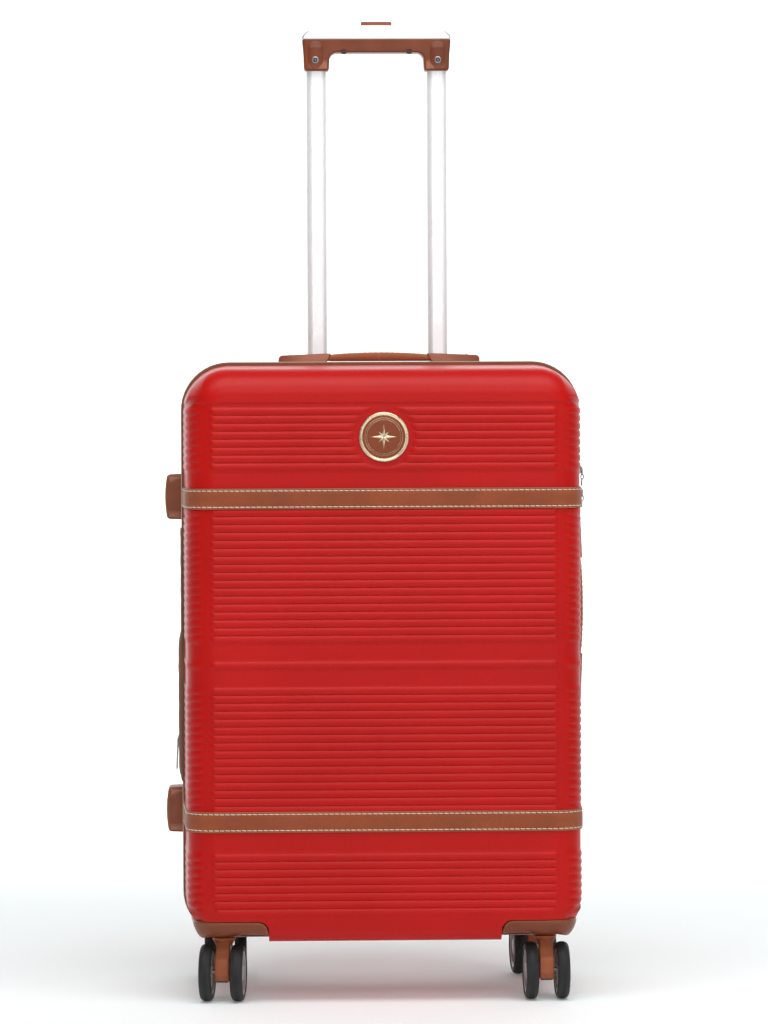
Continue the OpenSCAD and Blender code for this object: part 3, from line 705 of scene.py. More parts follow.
class Half:
    """Outer surface of one half of the case. Rows lie at constant height, so that the ribs follow them."""

    def __init__(self, shell):
        low, high = box_mm(shell)
        self.out = -1 if shell.startswith("front") else 1
        self.rim_y, self.face_y = (high[1], low[1]) if self.out < 0 else (low[1], high[1])
        self.depth = abs(self.face_y - self.rim_y)
        self.taper = math.hypot(self.depth - EDGE_R, DRAFT)
        self.length = self.taper + EDGE_R * math.pi / 2
        self.tilt = math.atan2(DRAFT, self.depth - EDGE_R)
        arc_share = 1 - self.taper / self.length
        near_rim = [1 - t / self.length for t in (66, 48, 33, 21, 13, 8, 5, 2.5)]
        arc = [arc_share * a / 90 for a in (0, 3, 6, 9, 14, 20, 26, 30, 34, 38, 45, 52, 60, 68, 76, 84, 90)]
        self.sides = arc + near_rim + [1.0]

    def profile(self, s):
        """Corner radius, depth and tilt of the normal, at a distance s from the rim."""
        if s <= self.taper:
            share = s / self.taper
            return CORNER_R - DRAFT * share, share * (self.depth - EDGE_R), self.tilt
        a = min((s - self.taper) / EDGE_R, math.pi / 2)
        return FACE_R + EDGE_R * math.cos(a), self.depth - EDGE_R + EDGE_R * math.sin(a), a

    def start(self, dz):
        """Distance from the rim at which the corner radius is dz."""
        if dz <= FACE_R:
            return self.length
        if dz >= CORNER_R - DRAFT:
            return self.taper * (CORNER_R - dz) / DRAFT
        return self.taper + EDGE_R * math.acos((dz - FACE_R) / EDGE_R)

    def at(self, z, s, sx, grow=0.0):
        """Point on the side at height z and distance s from the rim, its normal and its depth."""
        dz, sz = past_flat(z)
        radius, deep, tilt = self.profile(s)
        wide = math.sqrt(max(0.0, radius * radius - dz * dz))
        n = Vector((sx * wide / radius * math.cos(tilt), self.out * math.sin(tilt),
                    sz * dz / radius * math.cos(tilt)))
        p = Vector((sx * (FLAT_X + wide), self.rim_y + self.out * deep, z))
        return p + n * grow, n, deep

    def on_face(self, z, x, grow=0.0):
        """Point of the face or the top or bottom panel at height z, its normal and its depth."""
        dz, sz = past_flat(z)
        _, deep, tilt = self.profile(self.start(dz))
        n = Vector((0, self.out, 0))
        if dz > FACE_R:
            n = Vector((0, self.out * math.sin(tilt), sz * math.cos(tilt)))
        return Vector((x, self.rim_y + self.out * deep, z)) + n * grow, n, deep

    def face_half(self, z):
        """Half the width of the face or panel at height z."""
        dz, _ = past_flat(z)
        return FLAT_X + (math.sqrt(FACE_R * FACE_R - dz * dz) if dz < FACE_R else 0.0)

    def row(self, z, face_shares, grow):
        """Points from the left rim to the right rim; grow(x, z, depth) lifts each along its normal."""
        dz, _ = past_flat(z)
        begin, power = self.start(dz), 1 + min(1.0, dz / FACE_R)
        half = self.face_half(z)
        right = []
        for share in self.sides:
            p, n, deep = self.at(z, begin * (1 - share ** power), 1)
            right.append(p + n * grow(p.x, z, deep))
        middle = []
        for share in face_shares:
            p, n, deep = self.on_face(z, share * half)
            middle.append(p + n * grow(p.x, z, deep))
        left = [Vector((-p.x, p.y, p.z)) for p in right[::-1]]
        return left + middle + right

    def girdle(self, z):
        """Level line round the shell, from the left rim to the right rim, as (point, normal) pairs."""
        arc = [self.length - EDGE_R * math.radians(9 * i) for i in range(11)]
        flat = [self.taper * (1 - i / 9) for i in range(1, 10)]
        right = [self.at(z, s, 1)[:2] for s in arc + flat]
        left = [(Vector((-p.x, p.y, p.z)), Vector((-n.x, n.y, n.z))) for p, n in right[::-1]]
        edge = self.face_half(z)
        count = int(2 * edge / GIRDLE_STEP)
        face = [self.on_face(z, edge * (2 * (i + 1) / count - 1))[:2] for i in range(count - 1)]
        return left + face + right


FRONT = Half("front_shell")
BACK = Half("back_shell")


def rib_lift(z):
    """How far the ribs and the ledge above them stand out at height z."""
    near = min(abs(z - rib) for rib in RIBS)
    lift = 0.0 if near >= RIB_HALF else RIB_H * (1 - (near / RIB_HALF) ** 2) ** 0.8
    ledge = LEDGE_H * smooth(LEDGE_Z - 0.9, LEDGE_Z + 0.9, z) * (1 - smooth(LEDGE_Z + 4, LEDGE_Z + 26, z))
    return lift, ledge


def shell_grow(half, badge):
    """How far the shell stands off its CAD surface: the ribs end at the badge, the rounding and the rim."""
    levels = {}

    def grow(x, z, deep):
        if z not in levels:
            levels[z] = rib_lift(z)
        lift, ledge = levels[z]
        lift *= 1 - smooth(0.04, 0.36, half.depth - deep) * (1 - 0.7 * smooth(3.1, 5.8, half.depth - deep))
        near_rim = smooth(2.0, 7.0, deep)
        if badge and abs(z - BADGE_Z) < BADGE_CLEAR + 5 and deep > half.depth - 1:
            lift *= smooth(BADGE_CLEAR - 1, BADGE_CLEAR + 3, math.hypot(x, z - BADGE_Z))
        return (RIB_BASE + lift + ledge) * near_rim
    return grow


def shell_levels():
    """Heights of the rows, close together where there are ribs, a ledge or rounding."""
    caps = [CORNER_R * math.cos(a) for a in np.linspace(0, math.acos(1 - DRAFT / CORNER_R), 7)]
    caps += [FACE_R + EDGE_R * math.cos(math.radians(5 * i)) for i in range(1, 19)]
    levels = {MID_Z + side * (FLAT_Z + dz) for dz in caps for side in (-1, 1)}
    step = RIB_PITCH / 12
    first = math.ceil((MID_Z - FLAT_Z - FACE_R + 0.4 - RIB_MID) / step)
    last = math.floor((MID_Z + FLAT_Z + FACE_R - 0.4 - RIB_MID) / step)
    for k in range(first, last + 1):
        z = RIB_MID + k * step
        if min(abs(z - rib) for rib in RIBS) <= RIB_HALF + step or abs(z - LEDGE_Z) < 2.5 or k % 5 == 0:
            levels.add(z)
    return sorted(levels)


def spread(count, fine=0, reach=0.0):
    """Shares from -1 to 1; "fine" of them on each side lie within reach of the middle."""
    inner = [reach * i / fine for i in range(fine)] if fine else [0.0]
    begin = reach if fine else 0.0
    outer = [begin + (1 - begin) * i / count for i in range(0 if fine else 1, count)]
    right = inner + outer
    return [-s for s in right[:0:-1]] + right


def cut_out(bm, planes, near):
    """Removes what lies inside all planes (point, outward normal); near(point) limits the faces split."""
    for point, normal in planes:
        faces = [f for f in bm.faces if near(f.calc_center_median())]
        local = {v for f in faces for v in f.verts} | {e for f in faces for e in f.edges} | set(faces)
        bmesh.ops.bisect_plane(bm, geom=list(local), dist=1e-4, plane_co=point, plane_no=normal)
    inside = [f for f in bm.faces
              if all((f.calc_center_median() - Vector(p)).dot(Vector(n)) < 0 for p, n in planes)]
    bmesh.ops.delete(bm, geom=inside, context="FACES")


def turn_in(bm, depth):
    """Gives every open edge a wall that goes inwards from the surface."""
    bm.normal_update()
    edges = [e for e in bm.edges if e.is_boundary]
    normals = {tuple(round(c, 4) for c in v.co): v.normal.copy() for e in edges for v in e.verts}
    for e in edges:
        e.smooth = False
    made = bmesh.ops.extrude_edge_only(bm, edges=edges)["geom"]
    for v in (g for g in made if isinstance(g, bmesh.types.BMVert)):
        v.co -= normals[tuple(round(c, 4) for c in v.co)] * depth


GUARD_LOW, GUARD_HIGH = box_mm("front_right_guard")
POCKET_X, POCKET_TOP = GUARD_LOW[0] + 3.5, GUARD_HIGH[2]
POCKET_Y = {-1: GUARD_HIGH[1], 1: box_mm("rear_right_guard")[0][1]}
POCKET_ROUND = 11       # upper inner corner of a corner housing
SEAM = 0.9              # gap between a corner housing and the shell
RAISED = 5              # how much higher the bottom is beside its central panel


def housing_planes(sx, out, clear):
    """Top, inner side and back of one corner housing, moved out by clear."""
    x, y, z = POCKET_X - clear, POCKET_Y[out] - out * clear, POCKET_TOP + clear
    return [((0, 0, z), (0, 0, 1)), ((sx * x, 0, 0), (-sx, 0, 0)), ((0, y, 0), (0, -out, 0))]


def pocket_planes(sx, out):
    """Planes round one corner housing, its inner top corner rounded."""
    planes = housing_planes(sx, out, SEAM)
    for i in range(1, 6):
        a = math.radians(15 * i)
        normal = (-sx * math.cos(a), 0, math.sin(a))
        centre = (sx * (POCKET_X - SEAM + POCKET_ROUND), 0, POCKET_TOP + SEAM - POCKET_ROUND)
        planes.append((tuple(c + POCKET_ROUND * n for c, n in zip(centre, normal)), normal))
    return planes


def raise_corner(p):
    """The bottom is higher beside its central panel, between the front and the rear casters."""
    t = min(1.0, max(0.0, (abs(p.x) - POCKET_X + SEAM + RAISED) / RAISED))
    off_rim = min(abs(p.y - half.rim_y) for half in (FRONT, BACK))
    floor = SHELL_LOW[2] + RAISED * (1 - math.sqrt(1 - t * t)) * smooth(2, 12, off_rim)
    return Vector((p.x, p.y, max(p.z, floor)))


def make_shell(name, half, face_shares, badge, body, node, holes=()):
    """One half of the case, with cut-outs for the corner housings and for "holes" (planes, near)."""
    grow = shell_grow(half, badge)
    bm = grid_bmesh([[raise_corner(p) for p in half.row(z, face_shares, grow)] for z in shell_levels()], 0.01)
    bmesh.ops.recalc_face_normals(bm, faces=bm.faces)
    for sx in (-1, 1):
        cut_out(bm, pocket_planes(sx, half.out),
                lambda c, sx=sx: c.x * sx > POCKET_X - 12 and c.z < POCKET_TOP + 8)
    for planes, near in holes:
        cut_out(bm, planes, near)
    if sum(f.normal.y * half.out for f in bm.faces) < 0:
        bmesh.ops.reverse_faces(bm, faces=bm.faces)
    turn_in(bm, WALL)
    bmesh.ops.scale(bm, vec=(MM, MM, MM), verts=bm.verts)
    mesh = bpy.data.meshes.new(name)
    bm.to_mesh(mesh)
    bm.free()
    dress("red_shell", finish_mesh(name, mesh, "red", body, sharp=60), node=node)


def make_shells():
    """Both shells; their points are close at the bend of the bottom and, in front, round the badge."""
    bend = {s * (POCKET_X - d) / FLAT_X for s in (-1, 1) for d in (5.9, 4.4, 3.2, 2.2, 1.5, 1)}
    over_badge = set(spread(14, 14, 44 / SIDE))
    make_shell("front_shell_red", FRONT, sorted(bend | over_badge), True, "lid", "front_shell")
    cup_low, cup_high = box_mm("trolley_cup")
    low, high = tuple(cup_low + 0.8), tuple(cup_high - 0.8)
    sides = [(low, (-1, 0, 0)), (low, (0, -1, 0)), (high, (1, 0, 0)), (high, (0, 1, 0))]
    over_cup = (sides + [((0, 0, MID_Z), (0, 0, -1))],
                lambda c: c.z > MID_Z + FLAT_Z and abs(c.x) < high[0] + 8)
    plain = sorted(bend | set(spread(18)))
    make_shell("back_shell_red", BACK, plain, False, "case", "back_shell", [over_cup])


# ---------------------------------------------------------------- straps

STITCH_IN = 2.5         # from a strap's edge to its stitches
STITCH_STEP = 5.6


def strap_section(width):
    """Section of a leather strap as (height off the shell, place across it), with pressed stitch grooves."""
    half = width / 2
    rise = box_mm("front_shell")[0][1] - box_mm("front_strap_upper")[0][1]
    side = [(RIB_BASE, half), (rise * 0.45, half), (rise * 0.78, half - 0.25), (rise * 0.95, half - 0.9),
            (rise, half - 1.7), (rise - 0.25, half - STITCH_IN + 0.3), (rise - 0.3, half - STITCH_IN),
            (rise - 0.25, half - STITCH_IN - 0.3), (rise, half - STITCH_IN - 0.8)]
    crown = [(rise + 0.12, half * 0.4), (rise + 0.15, 0)]
    return side + crown + [(h, -w) for h, w in (side + crown)[-2::-1]]


def make_strap(name, half, z, body, node):
    """A leather strap round one shell, with a row of stitches along each edge."""
    path = half.girdle(z)
    section = strap_section(STRAP_W)
    verts = []
    for p, n in path:
        flat = Vector((n.x, n.y, 0)).normalized()
        verts += [p + flat * h + Vector((0, 0, w)) for h, w in section]
    strap = build(name, verts, grid_faces(len(path), len(section)), "leather", body)
    strap.data.materials.append(MATERIALS["leather_edge"])
    columns = len(section) - 1
    for face in strap.data.polygons:
        if face.index % columns in (0, 1, columns - 2, columns - 1):
            face.material_index = 1
    groove = section[6][0]
    heap = Heap()
    for spot, along, out in walk(path, STITCH_STEP, 6.0):
        out = Vector((out.x, out.y, 0)).normalized()
        for edge in (-1, 1):
            heap.stitch(spot + out * groove + Vector((0, 0, edge * (STRAP_W / 2 - STITCH_IN))), along, out)
    dress("tan_leather", strap, heap.make(name + "_stitches", "thread", body), node=node)


def make_straps():
    for level, z in STRAPS.items():
        for side, half, body in (("front", FRONT, "lid"), ("back", BACK, "case")):
            node = f"{side}_strap_{level}"
            make_strap(node + "_leather", half, z, body, node)


# ---------------------------------------------------------------- badge

def make_badge():
    """Metal rim, leather face and a plain eight-pointed star inside two circles."""
    centre, axis = (0, FRONT.face_y, BADGE_Z), (0, -1, 0)
    rise = FRONT.face_y - BADGE_LOW[1]
    inner = BADGE_R - 3
    profile = [(BADGE_R - 0.2, RIB_BASE), (BADGE_R, 0.4), (BADGE_R - 0.35, rise * 0.8), (BADGE_R - 1.0, rise),
               (BADGE_R - 1.7, rise), (inner + 0.9, rise * 0.75), (inner + 0.5, rise * 0.7),
               (inner + 0.1, rise * 0.8), (inner - 0.35, rise * 0.72), (inner - 0.45, 0.2)]
    rim = turned("badge_rim_ring", profile, centre, axis, "gold", "lid", 96)
    dress("badge_metal", rim, node="badge_rim")
    face_rise = FRONT.face_y - box_mm("badge_face")[0][1]
    profile = [(inner - 0.3, face_rise - 0.5), (inner - 1.2, face_rise - 0.1),
               (inner * 0.6, face_rise + 0.05), (inner * 0.3, face_rise + 0.1), (0, face_rise + 0.1)]
    face = turned("badge_leather_face", profile, centre, axis, "badge_leather", "lid", 96)
    dress("tan_leather", face, node="badge_face")
    heap = Heap()
    y = FRONT.face_y - face_rise - 0.1
    for radius in (inner * 0.78, inner * 0.86):
        circle = [(radius * math.cos(a), y, BADGE_Z + radius * math.sin(a))
                  for a in np.linspace(0, 2 * math.pi, 72, False)]
        heap.add(*tube_mesh(circle, 0.22, 6, closed=True))
    base = Vector((0, y + 0.1, BADGE_Z))
    for k in range(8):
        a = math.pi * k / 4
        long, wide = (inner * 0.62, 1.7) if k % 2 == 0 else (inner * 0.4, 1.3)
        tip, side = Vector((math.sin(a), 0, math.cos(a))), Vector((math.cos(a), 0, -math.sin(a)))
        waist = base + tip * long * 0.24
        ridge = base + Vector((0, -0.55, 0)) + tip * long * 0.2
        heap.add([base, waist + side * wide, base + tip * long, waist - side * wide, ridge],
                 [(0, 1, 4), (1, 2, 4), (2, 3, 4), (3, 0, 4), (0, 3, 2, 1)])
    dress("badge_metal", heap.make("badge_star", "gold", "lid", smooth_faces=False))


# ---------------------------------------------------------------- zips, band, gusset and fabric hinge

RIM_STEP = 7.0          # between points along the straight sides


def rim_loop():
    """Closed loop round the case at its rim, as (place, outward) pairs in X and Z."""
    loop = []
    for sx, sz, start in ((1, 1, 0), (-1, 1, 90), (-1, -1, 180), (1, -1, 270)):
        for k in range(13):
            a = math.radians(start + 7.5 * k)
            out = Vector((math.cos(a), 0, math.sin(a)))
            loop.append((Vector((sx * FLAT_X, 0, MID_Z + sz * FLAT_Z)) + out * CORNER_R, out))
    full = []
    for (p, out), (q, other) in zip(loop, loop[1:] + loop[:1]):
        full.append((p, out))
        count = int((q - p).length / RIM_STEP)
        if (out - other).length < 1e-6 and count > 1:
            full += [(p.lerp(q, k / count), out) for k in range(1, count)]
    return full


RING_RISE = 0.55        # the tapes stand off the shell more along the top


def off_rim(out, proud):
    """Moves a point off the rim; what stands proud of it does so more along the top."""
    return out * (proud * (1 + RING_RISE * max(0.0, out.z)) if proud > 0 else proud)


def ring(name, section, material, body):
    """Sweeps a closed section of (out, y) round the rim."""
    loop = rim_loop()
    verts = [p + off_rim(out, o) + Vector((0, y, 0)) for p, out in loop for o, y in section]
    return build(name, verts, grid_faces(len(loop), len(section), closed=True, joined=True), material, body)


def tape_section(y0, y1, proud, roll_at, inner):
    """Zip tape with a rolled edge at one side."""
    width = y1 - y0
    roll = 0.34 * width
    outer = [(0.45, 0), (0.85, 0.25), (1, roll * 0.6), (0.8, roll * 1.1), (0.5, roll * 1.35),
             (0.62, width * 0.7), (0.5, width - 0.2), (0, width)]   # share of proud, distance from the roll
    outer = [(proud * share, y1 - d if roll_at > 0 else y0 + d) for share, d in outer]
    return [(inner, y0), (inner, y1)] + outer[::1 if roll_at > 0 else -1]


TOOTH_PITCH = 2.6       # the two rows of a zip are half a pitch apart


def zip_teeth(name, y, side, phase, body):
    """One row of coil teeth along a tape's edge, which reach across the gap on the given side."""
    heap = Heap()
    loop = rim_loop()
    for place, along, out in walk(loop + loop[:1], TOOTH_PITCH, phase):
        outward = out.normalized()
        spot = place + outward * 0.75 + Vector((0, y + side * 0.25, 0))
        heap.brick(spot, along, Vector((0, 1, 0)), outward, (1.15, 1.5, 1.0))
    dress("zip_metal", heap.make(name, "chrome", body, smooth_faces=False))


TAPES = (       # node, body, side of the rolled edge, depth
    ("front_zip_tape", "lid", -1, -3.0),
    ("expander_band", "expander", 1, -4.0),
    ("back_zip_tape", "case", 1, -3.0),
)


def make_zips():
    """Three zip tapes, two lines of piping and four rows of teeth."""
    proud = box_mm("front_zip_tape")[1][0] - SIDE
    edges = {}
    for node, body, roll_at, inner in TAPES:
        low, high = box_mm(node)
        section = tape_section(low[1], high[1], proud, roll_at, inner)
        dress("zip_fabric", ring(node + "_cloth", section, "zip", body), node=node)
        edges[body] = (low[1], high[1])
    for name, y, body in (("front_piping", edges["lid"][1] - 1.5, "lid"),
                          ("band_piping", edges["expander"][0] + 1.4, "expander")):
        path = [p + off_rim(out, proud * 0.9) + Vector((0, y, 0)) for p, out in rim_loop()]
        verts, faces = tube_mesh(path, 0.8, 8, closed=True)
        dress("zip_fabric", build(name, verts, faces, "piping", body))
    zip_teeth("lid_zip_teeth", edges["lid"][1], 1, 0.0, "lid")
    zip_teeth("band_zip_teeth", edges["expander"][0], -1, TOOTH_PITCH / 2, "expander")
    zip_teeth("back_zip_teeth", edges["case"][0], -1, 0.0, "case")
    zip_teeth("expander_zip_teeth", edges["expander"][1], 1, TOOTH_PITCH / 2, "expander")


GUSSET_FOLDS = 14
GUSSET_DEEP = 2.8


def make_gusset():
    """Cloth in narrow pleats between the back tape and the band."""
    low, high = box_mm("expansion_gusset")
    loop = rim_loop()
    section = [(-0.2 - GUSSET_DEEP * (k % 2), low[1] + (high[1] - low[1]) * k / GUSSET_FOLDS)
               for k in range(GUSSET_FOLDS + 1)]
    verts = [p + out * o + Vector((0, y, 0)) for p, out in loop for o, y in section]
    gusset = build("gusset_cloth", verts, grid_faces(len(loop), len(section), joined=True), "zip")
    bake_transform(gusset)
    dress("zip_fabric", gusset, node="expansion_gusset")


def make_hinge_tape():
    """The cloth hinge: a strip sewn to the lid and to the band, which bulges between them."""
    low, high = box_mm("hinge_tape")
    rows, columns = 54, 11
    verts = []
    bulge_low, bulge_high = low[2] + 6, low[2] + 0.58 * (high[2] - low[2])
    for r in range(rows):
        z = low[2] + (high[2] - low[2]) * r / (rows - 1)
        swell = smooth(bulge_low - 6, bulge_low + 10, z) * (1 - smooth(bulge_high - 14, bulge_high + 8, z))
        for c in range(columns):
            t = c / (columns - 1)
            arch = math.sin(math.pi * t) ** 0.7
            ripple = 0.25 * math.sin(z * 0.31) * math.sin(z * 0.083 + 2) * math.sin(math.pi * t)
            out = 0.5 + arch * (1.3 + 2.6 * swell) + ripple
            verts.append((-SIDE - 2 - out, low[1] + (high[1] - low[1]) * t, z))
    tape = build("hinge_tape_cloth", verts, grid_faces(rows, columns), "zip")
    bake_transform(tape)
    dress("zip_fabric", tape, node="hinge_tape")


# ---------------------------------------------------------------- linings and packing straps

def lining_wrinkle(x, z):
    """Small puckers of a lining that is glued only at its edges."""
    return (0.55 * math.sin(x * 0.071 + 0.6 * math.sin(z * 0.043)) * math.sin(z * 0.057 + 1.1)
            + 0.3 * math.sin(x * 0.19 + z * 0.13) * math.sin(z * 0.021))


LINING_GAP = WALL + 0.8         # from the shell's surface to the lining
LINING_CLEAR = 3.4              # round a corner housing
LOCK_LOW, LOCK_HIGH = (Vector(corner) for corner in box_mm("lock_case"))
LOCK_AT, LOCK_HALF_Z = (LOCK_LOW + LOCK_HIGH) / 2, (LOCK_HIGH.z - LOCK_LOW.z) / 2
LOCK_IN = min(LOCK_LOW.x, box_mm("lock_dial_1")[0][0]) - 1.2


def cover_housing(bm, half, sx):
    """Roof and two walls of lining over one corner housing."""
    x0, y0 = POCKET_X - LINING_CLEAR, POCKET_Y[half.out] - half.out * LINING_CLEAR

    def inside(z):
        row = half.row(z, spread(22), lambda x, z, deep: -LINING_GAP - 0.4)
        row = [p for p in row if p.x * sx > x0 + 0.5 and (p.y - y0) * half.out > 0.5]
        return row if sx > 0 else row[::-1]

    rows = []
    top = POCKET_TOP + LINING_CLEAR
    for z in np.linspace(top, SHELL_LOW[2] + RAISED + LINING_GAP, 7):
        edge = inside(z)
        rows.append([(sx * max(abs(p.x) for p in edge), y0, z), (sx * x0, y0, z), (sx * x0, edge[0].y, z)])
    walls = [bm.verts.new(p) for row in rows for p in row]
    for face in grid_faces(len(rows), 3):
        bm.faces.new([walls[i] for i in face])
    roof = [rows[0][1], rows[0][2], *inside(top), rows[0][0]]
    bm.faces.new([bm.verts.new(p) for p in roof])


def lining_point(half, p, hump):
    """Leads a point of the lining round the trolley's rails, the lock and the raised bottom."""
    if hump and abs(p.x) < hump[0] and p.y > hump[1]:
        p = Vector((p.x, hump[1] + 0.5 + 0.4 * lining_wrinkle(p.x, p.z), p.z))
    if half is BACK and p.x > 0:
        beside = 1 - smooth(LOCK_HALF_Z + 1, LOCK_HALF_Z + 12, abs(p.z - LOCK_AT.z))
        beside *= 1 - smooth(11, 19, abs(p.y - LOCK_AT.y))
        p.x += (min(p.x, LOCK_IN) - p.x) * beside
    floor = raise_corner(Vector((p.x, p.y, 0))).z + LINING_GAP
    return Vector((p.x, p.y, min(max(p.z, floor), SHELL_HIGH[2] - LINING_GAP)))


def make_lining(name, half, body, node, hump=None):
    """Lining pressed into one shell; hump is (half its width, y) of the cover over the trolley's rails."""
    caps = [CORNER_R * math.cos(a) for a in np.linspace(0, math.acos(1 - DRAFT / CORNER_R), 4)]
    caps += [FACE_R + EDGE_R * math.cos(math.radians(15 * i)) for i in range(1, 7)]
    levels = sorted({MID_Z + side * (FLAT_Z + dz) for dz in caps for side in (-1, 1)}
                    | set(np.linspace(MID_Z - FLAT_Z - 6, MID_Z + FLAT_Z + 6, 70)))
    shares = spread(22)
    if hump:
        edge = hump[0] / half.face_half(MID_Z)
        shares = sorted(set(shares) | {s * (edge + d) for s in (-1, 1) for d in (-0.004, 0.004)})

    def grow(x, z, deep):
        return -LINING_GAP - 0.4 - 0.5 * lining_wrinkle(x, z) * smooth(4, 20, deep)

    bm = grid_bmesh([[lining_point(half, p, hump) for p in half.row(z, shares, grow)] for z in levels], 0.05)
    for sx in (-1, 1):
        cut_out(bm, housing_planes(sx, half.out, LINING_CLEAR),
                lambda c, sx=sx: c.x * sx > POCKET_X - 25 and c.z < POCKET_TOP + 20)
        cover_housing(bm, half, sx)
    bmesh.ops.delete(bm, geom=[v for v in bm.verts if not v.link_faces], context="VERTS")
    area = sum(f.calc_area() for f in bm.faces) * MM * MM
    lining = from_bmesh(name, bm, "lining", body)
    dress("lining_fabric", lining, node=node)


def make_linings():
    make_lining("front_lining_cloth", FRONT, "lid", "front_lining")
    cup_low, cup_high = box_mm("trolley_cup")
    make_lining("back_lining_cloth", BACK, "case", "back_lining", (cup_high[0] + 3.5, cup_low[1] - 2.5))


WEBBING = ((-1, -0.35), (-0.97, 0.1), (-0.8, 0.3), (-0.6, 0.18), (0, 0.28), (0.6, 0.18), (0.8, 0.3),
           (0.97, 0.1), (1, -0.35))


def make_packing_straps():
    """Two crossed elastic straps and the buckle that joins them."""
    low, high = box_mm("packing_straps")
    centre = Vector((0, high[1] - 1.2, (low[2] + high[2]) / 2))
    turn, half_len, half_w, count = math.radians(50), 234, 9.6, 60
    for s, name in ((-1, "packing_strap_down"), (1, "packing_strap_up")):
        along = Vector((math.cos(turn), 0, -s * math.sin(turn)))
        side = Vector((s * math.sin(turn), 0, math.cos(turn)))
        verts = []
        for k in range(count + 1):
            t = 2 * k / count - 1
            sag = s * 0.7 - 0.3 + 0.35 * math.sin(t * 5 + s)
            verts += [centre + along * t * half_len + side * w * half_w + Vector((0, sag * 0.5 - h - 0.6, 0))
                      for w, h in WEBBING]
        strap = build(name, verts, grid_faces(count + 1, len(WEBBING)), "webbing", "case")
    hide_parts("packing_straps")
    outline = rounded(rectangle(-22, centre.z - 22, 22, centre.z + 22), 7)
    buckle = slab("packing_buckle", outline, low[1] + 0.6, low[1] + 4.4, along_y, "black", "case", 1.2)
    for i, sx in enumerate((-1, 1)):
        prong = rounded([(sx * u, centre.z + v) for u, v in ((4, -12), (15, -9), (15, 9), (4, 12))], 2.5)
        button = slab(f"buckle_button_{i + 1}", prong, low[1] - 0.1, low[1] + 1.2, along_y, "brown", "case",
                      0.6)


# ---------------------------------------------------------------- carry handles

HANDLE_W = 27               # both carry handles
HANDLE_END = 106.5          # from the middle of a handle to the end of a cap
HANDLE_TOP = 13.0
CAP_FOOT, CAP_TOP = 59.4, 50.6      # where a cap begins, at the case and at its top
CAP_COVERS = 6.5            # how far the grip goes into a cap
SIDE_HANDLE_SINK = 3        # the side handle sits deeper than the top one
GRIP_SECTION = ((-1, 0.25), (-1, 0.7), (-0.93, 0.93), (-0.78, 1.0), (-0.4, 1.03), (0, 1.05), (0.4, 1.03),
                (0.78, 1.0), (0.93, 0.93), (1, 0.7), (1, 0.25), (0.9, 0.03), (0, 0.0), (-0.9, 0.03))


def top_place(u, v, w):
    """u along the handle, v up from the top of the case, w across it."""
    low, high = box_mm("top_handle_grip")
    return ((low[0] + high[0]) / 2 + u, (low[1] + high[1]) / 2 + w, SHELL_HIGH[2] + v)


def side_place(u, v, w):
    """u down the handle, v out from the side of the case, w across it."""
    low, high = box_mm("side_handle_grip")
    return (SIDE + v - SIDE_HANDLE_SINK, (low[1] + high[1]) / 2 + w, (low[2] + high[2]) / 2 - u)


def handle_rise(u):
    """Height of the grip's upper face, which is slightly arched."""
    return HANDLE_TOP - 1.0 + 2.6 * (1 - (u / (CAP_TOP + CAP_COVERS)) ** 2) - 0.9


def handle_grip(s, place):
    """Vertices and faces of one half of a grip, from under its cap to the middle."""
    verts = []
    count, columns, reach = 26, len(GRIP_SECTION), CAP_TOP + CAP_COVERS
    for k in range(count + 1):
        u = reach * (1 - k / count)
        under_cap = smooth(CAP_TOP - 1.0, reach, u)
        high = handle_rise(u) - 2.6 * under_cap
        low = 4.6 + 0.8 * under_cap
        wide = HANDLE_W / 2 - 1.2 - 0.5 * under_cap
        verts += [place(s * u, low + (high - low) * b, a * wide) for a, b in GRIP_SECTION]
    return verts, grid_faces(count + 1, columns, closed=True) + [tuple(range(columns))]


def handle_stitches(s, place, across, lift):
    """One row of stitches along half a grip."""
    heap = Heap()
    u = 3.0
    while u < CAP_TOP - 3:
        rise = handle_rise(u)
        ahead = Vector(place(s * (u + 1), rise, across)) - Vector(place(s * u, rise, across))
        heap.stitch(Vector(place(s * u, rise - 0.05, across)), ahead.normalized(), Vector(lift))
        u += STITCH_STEP
    return heap


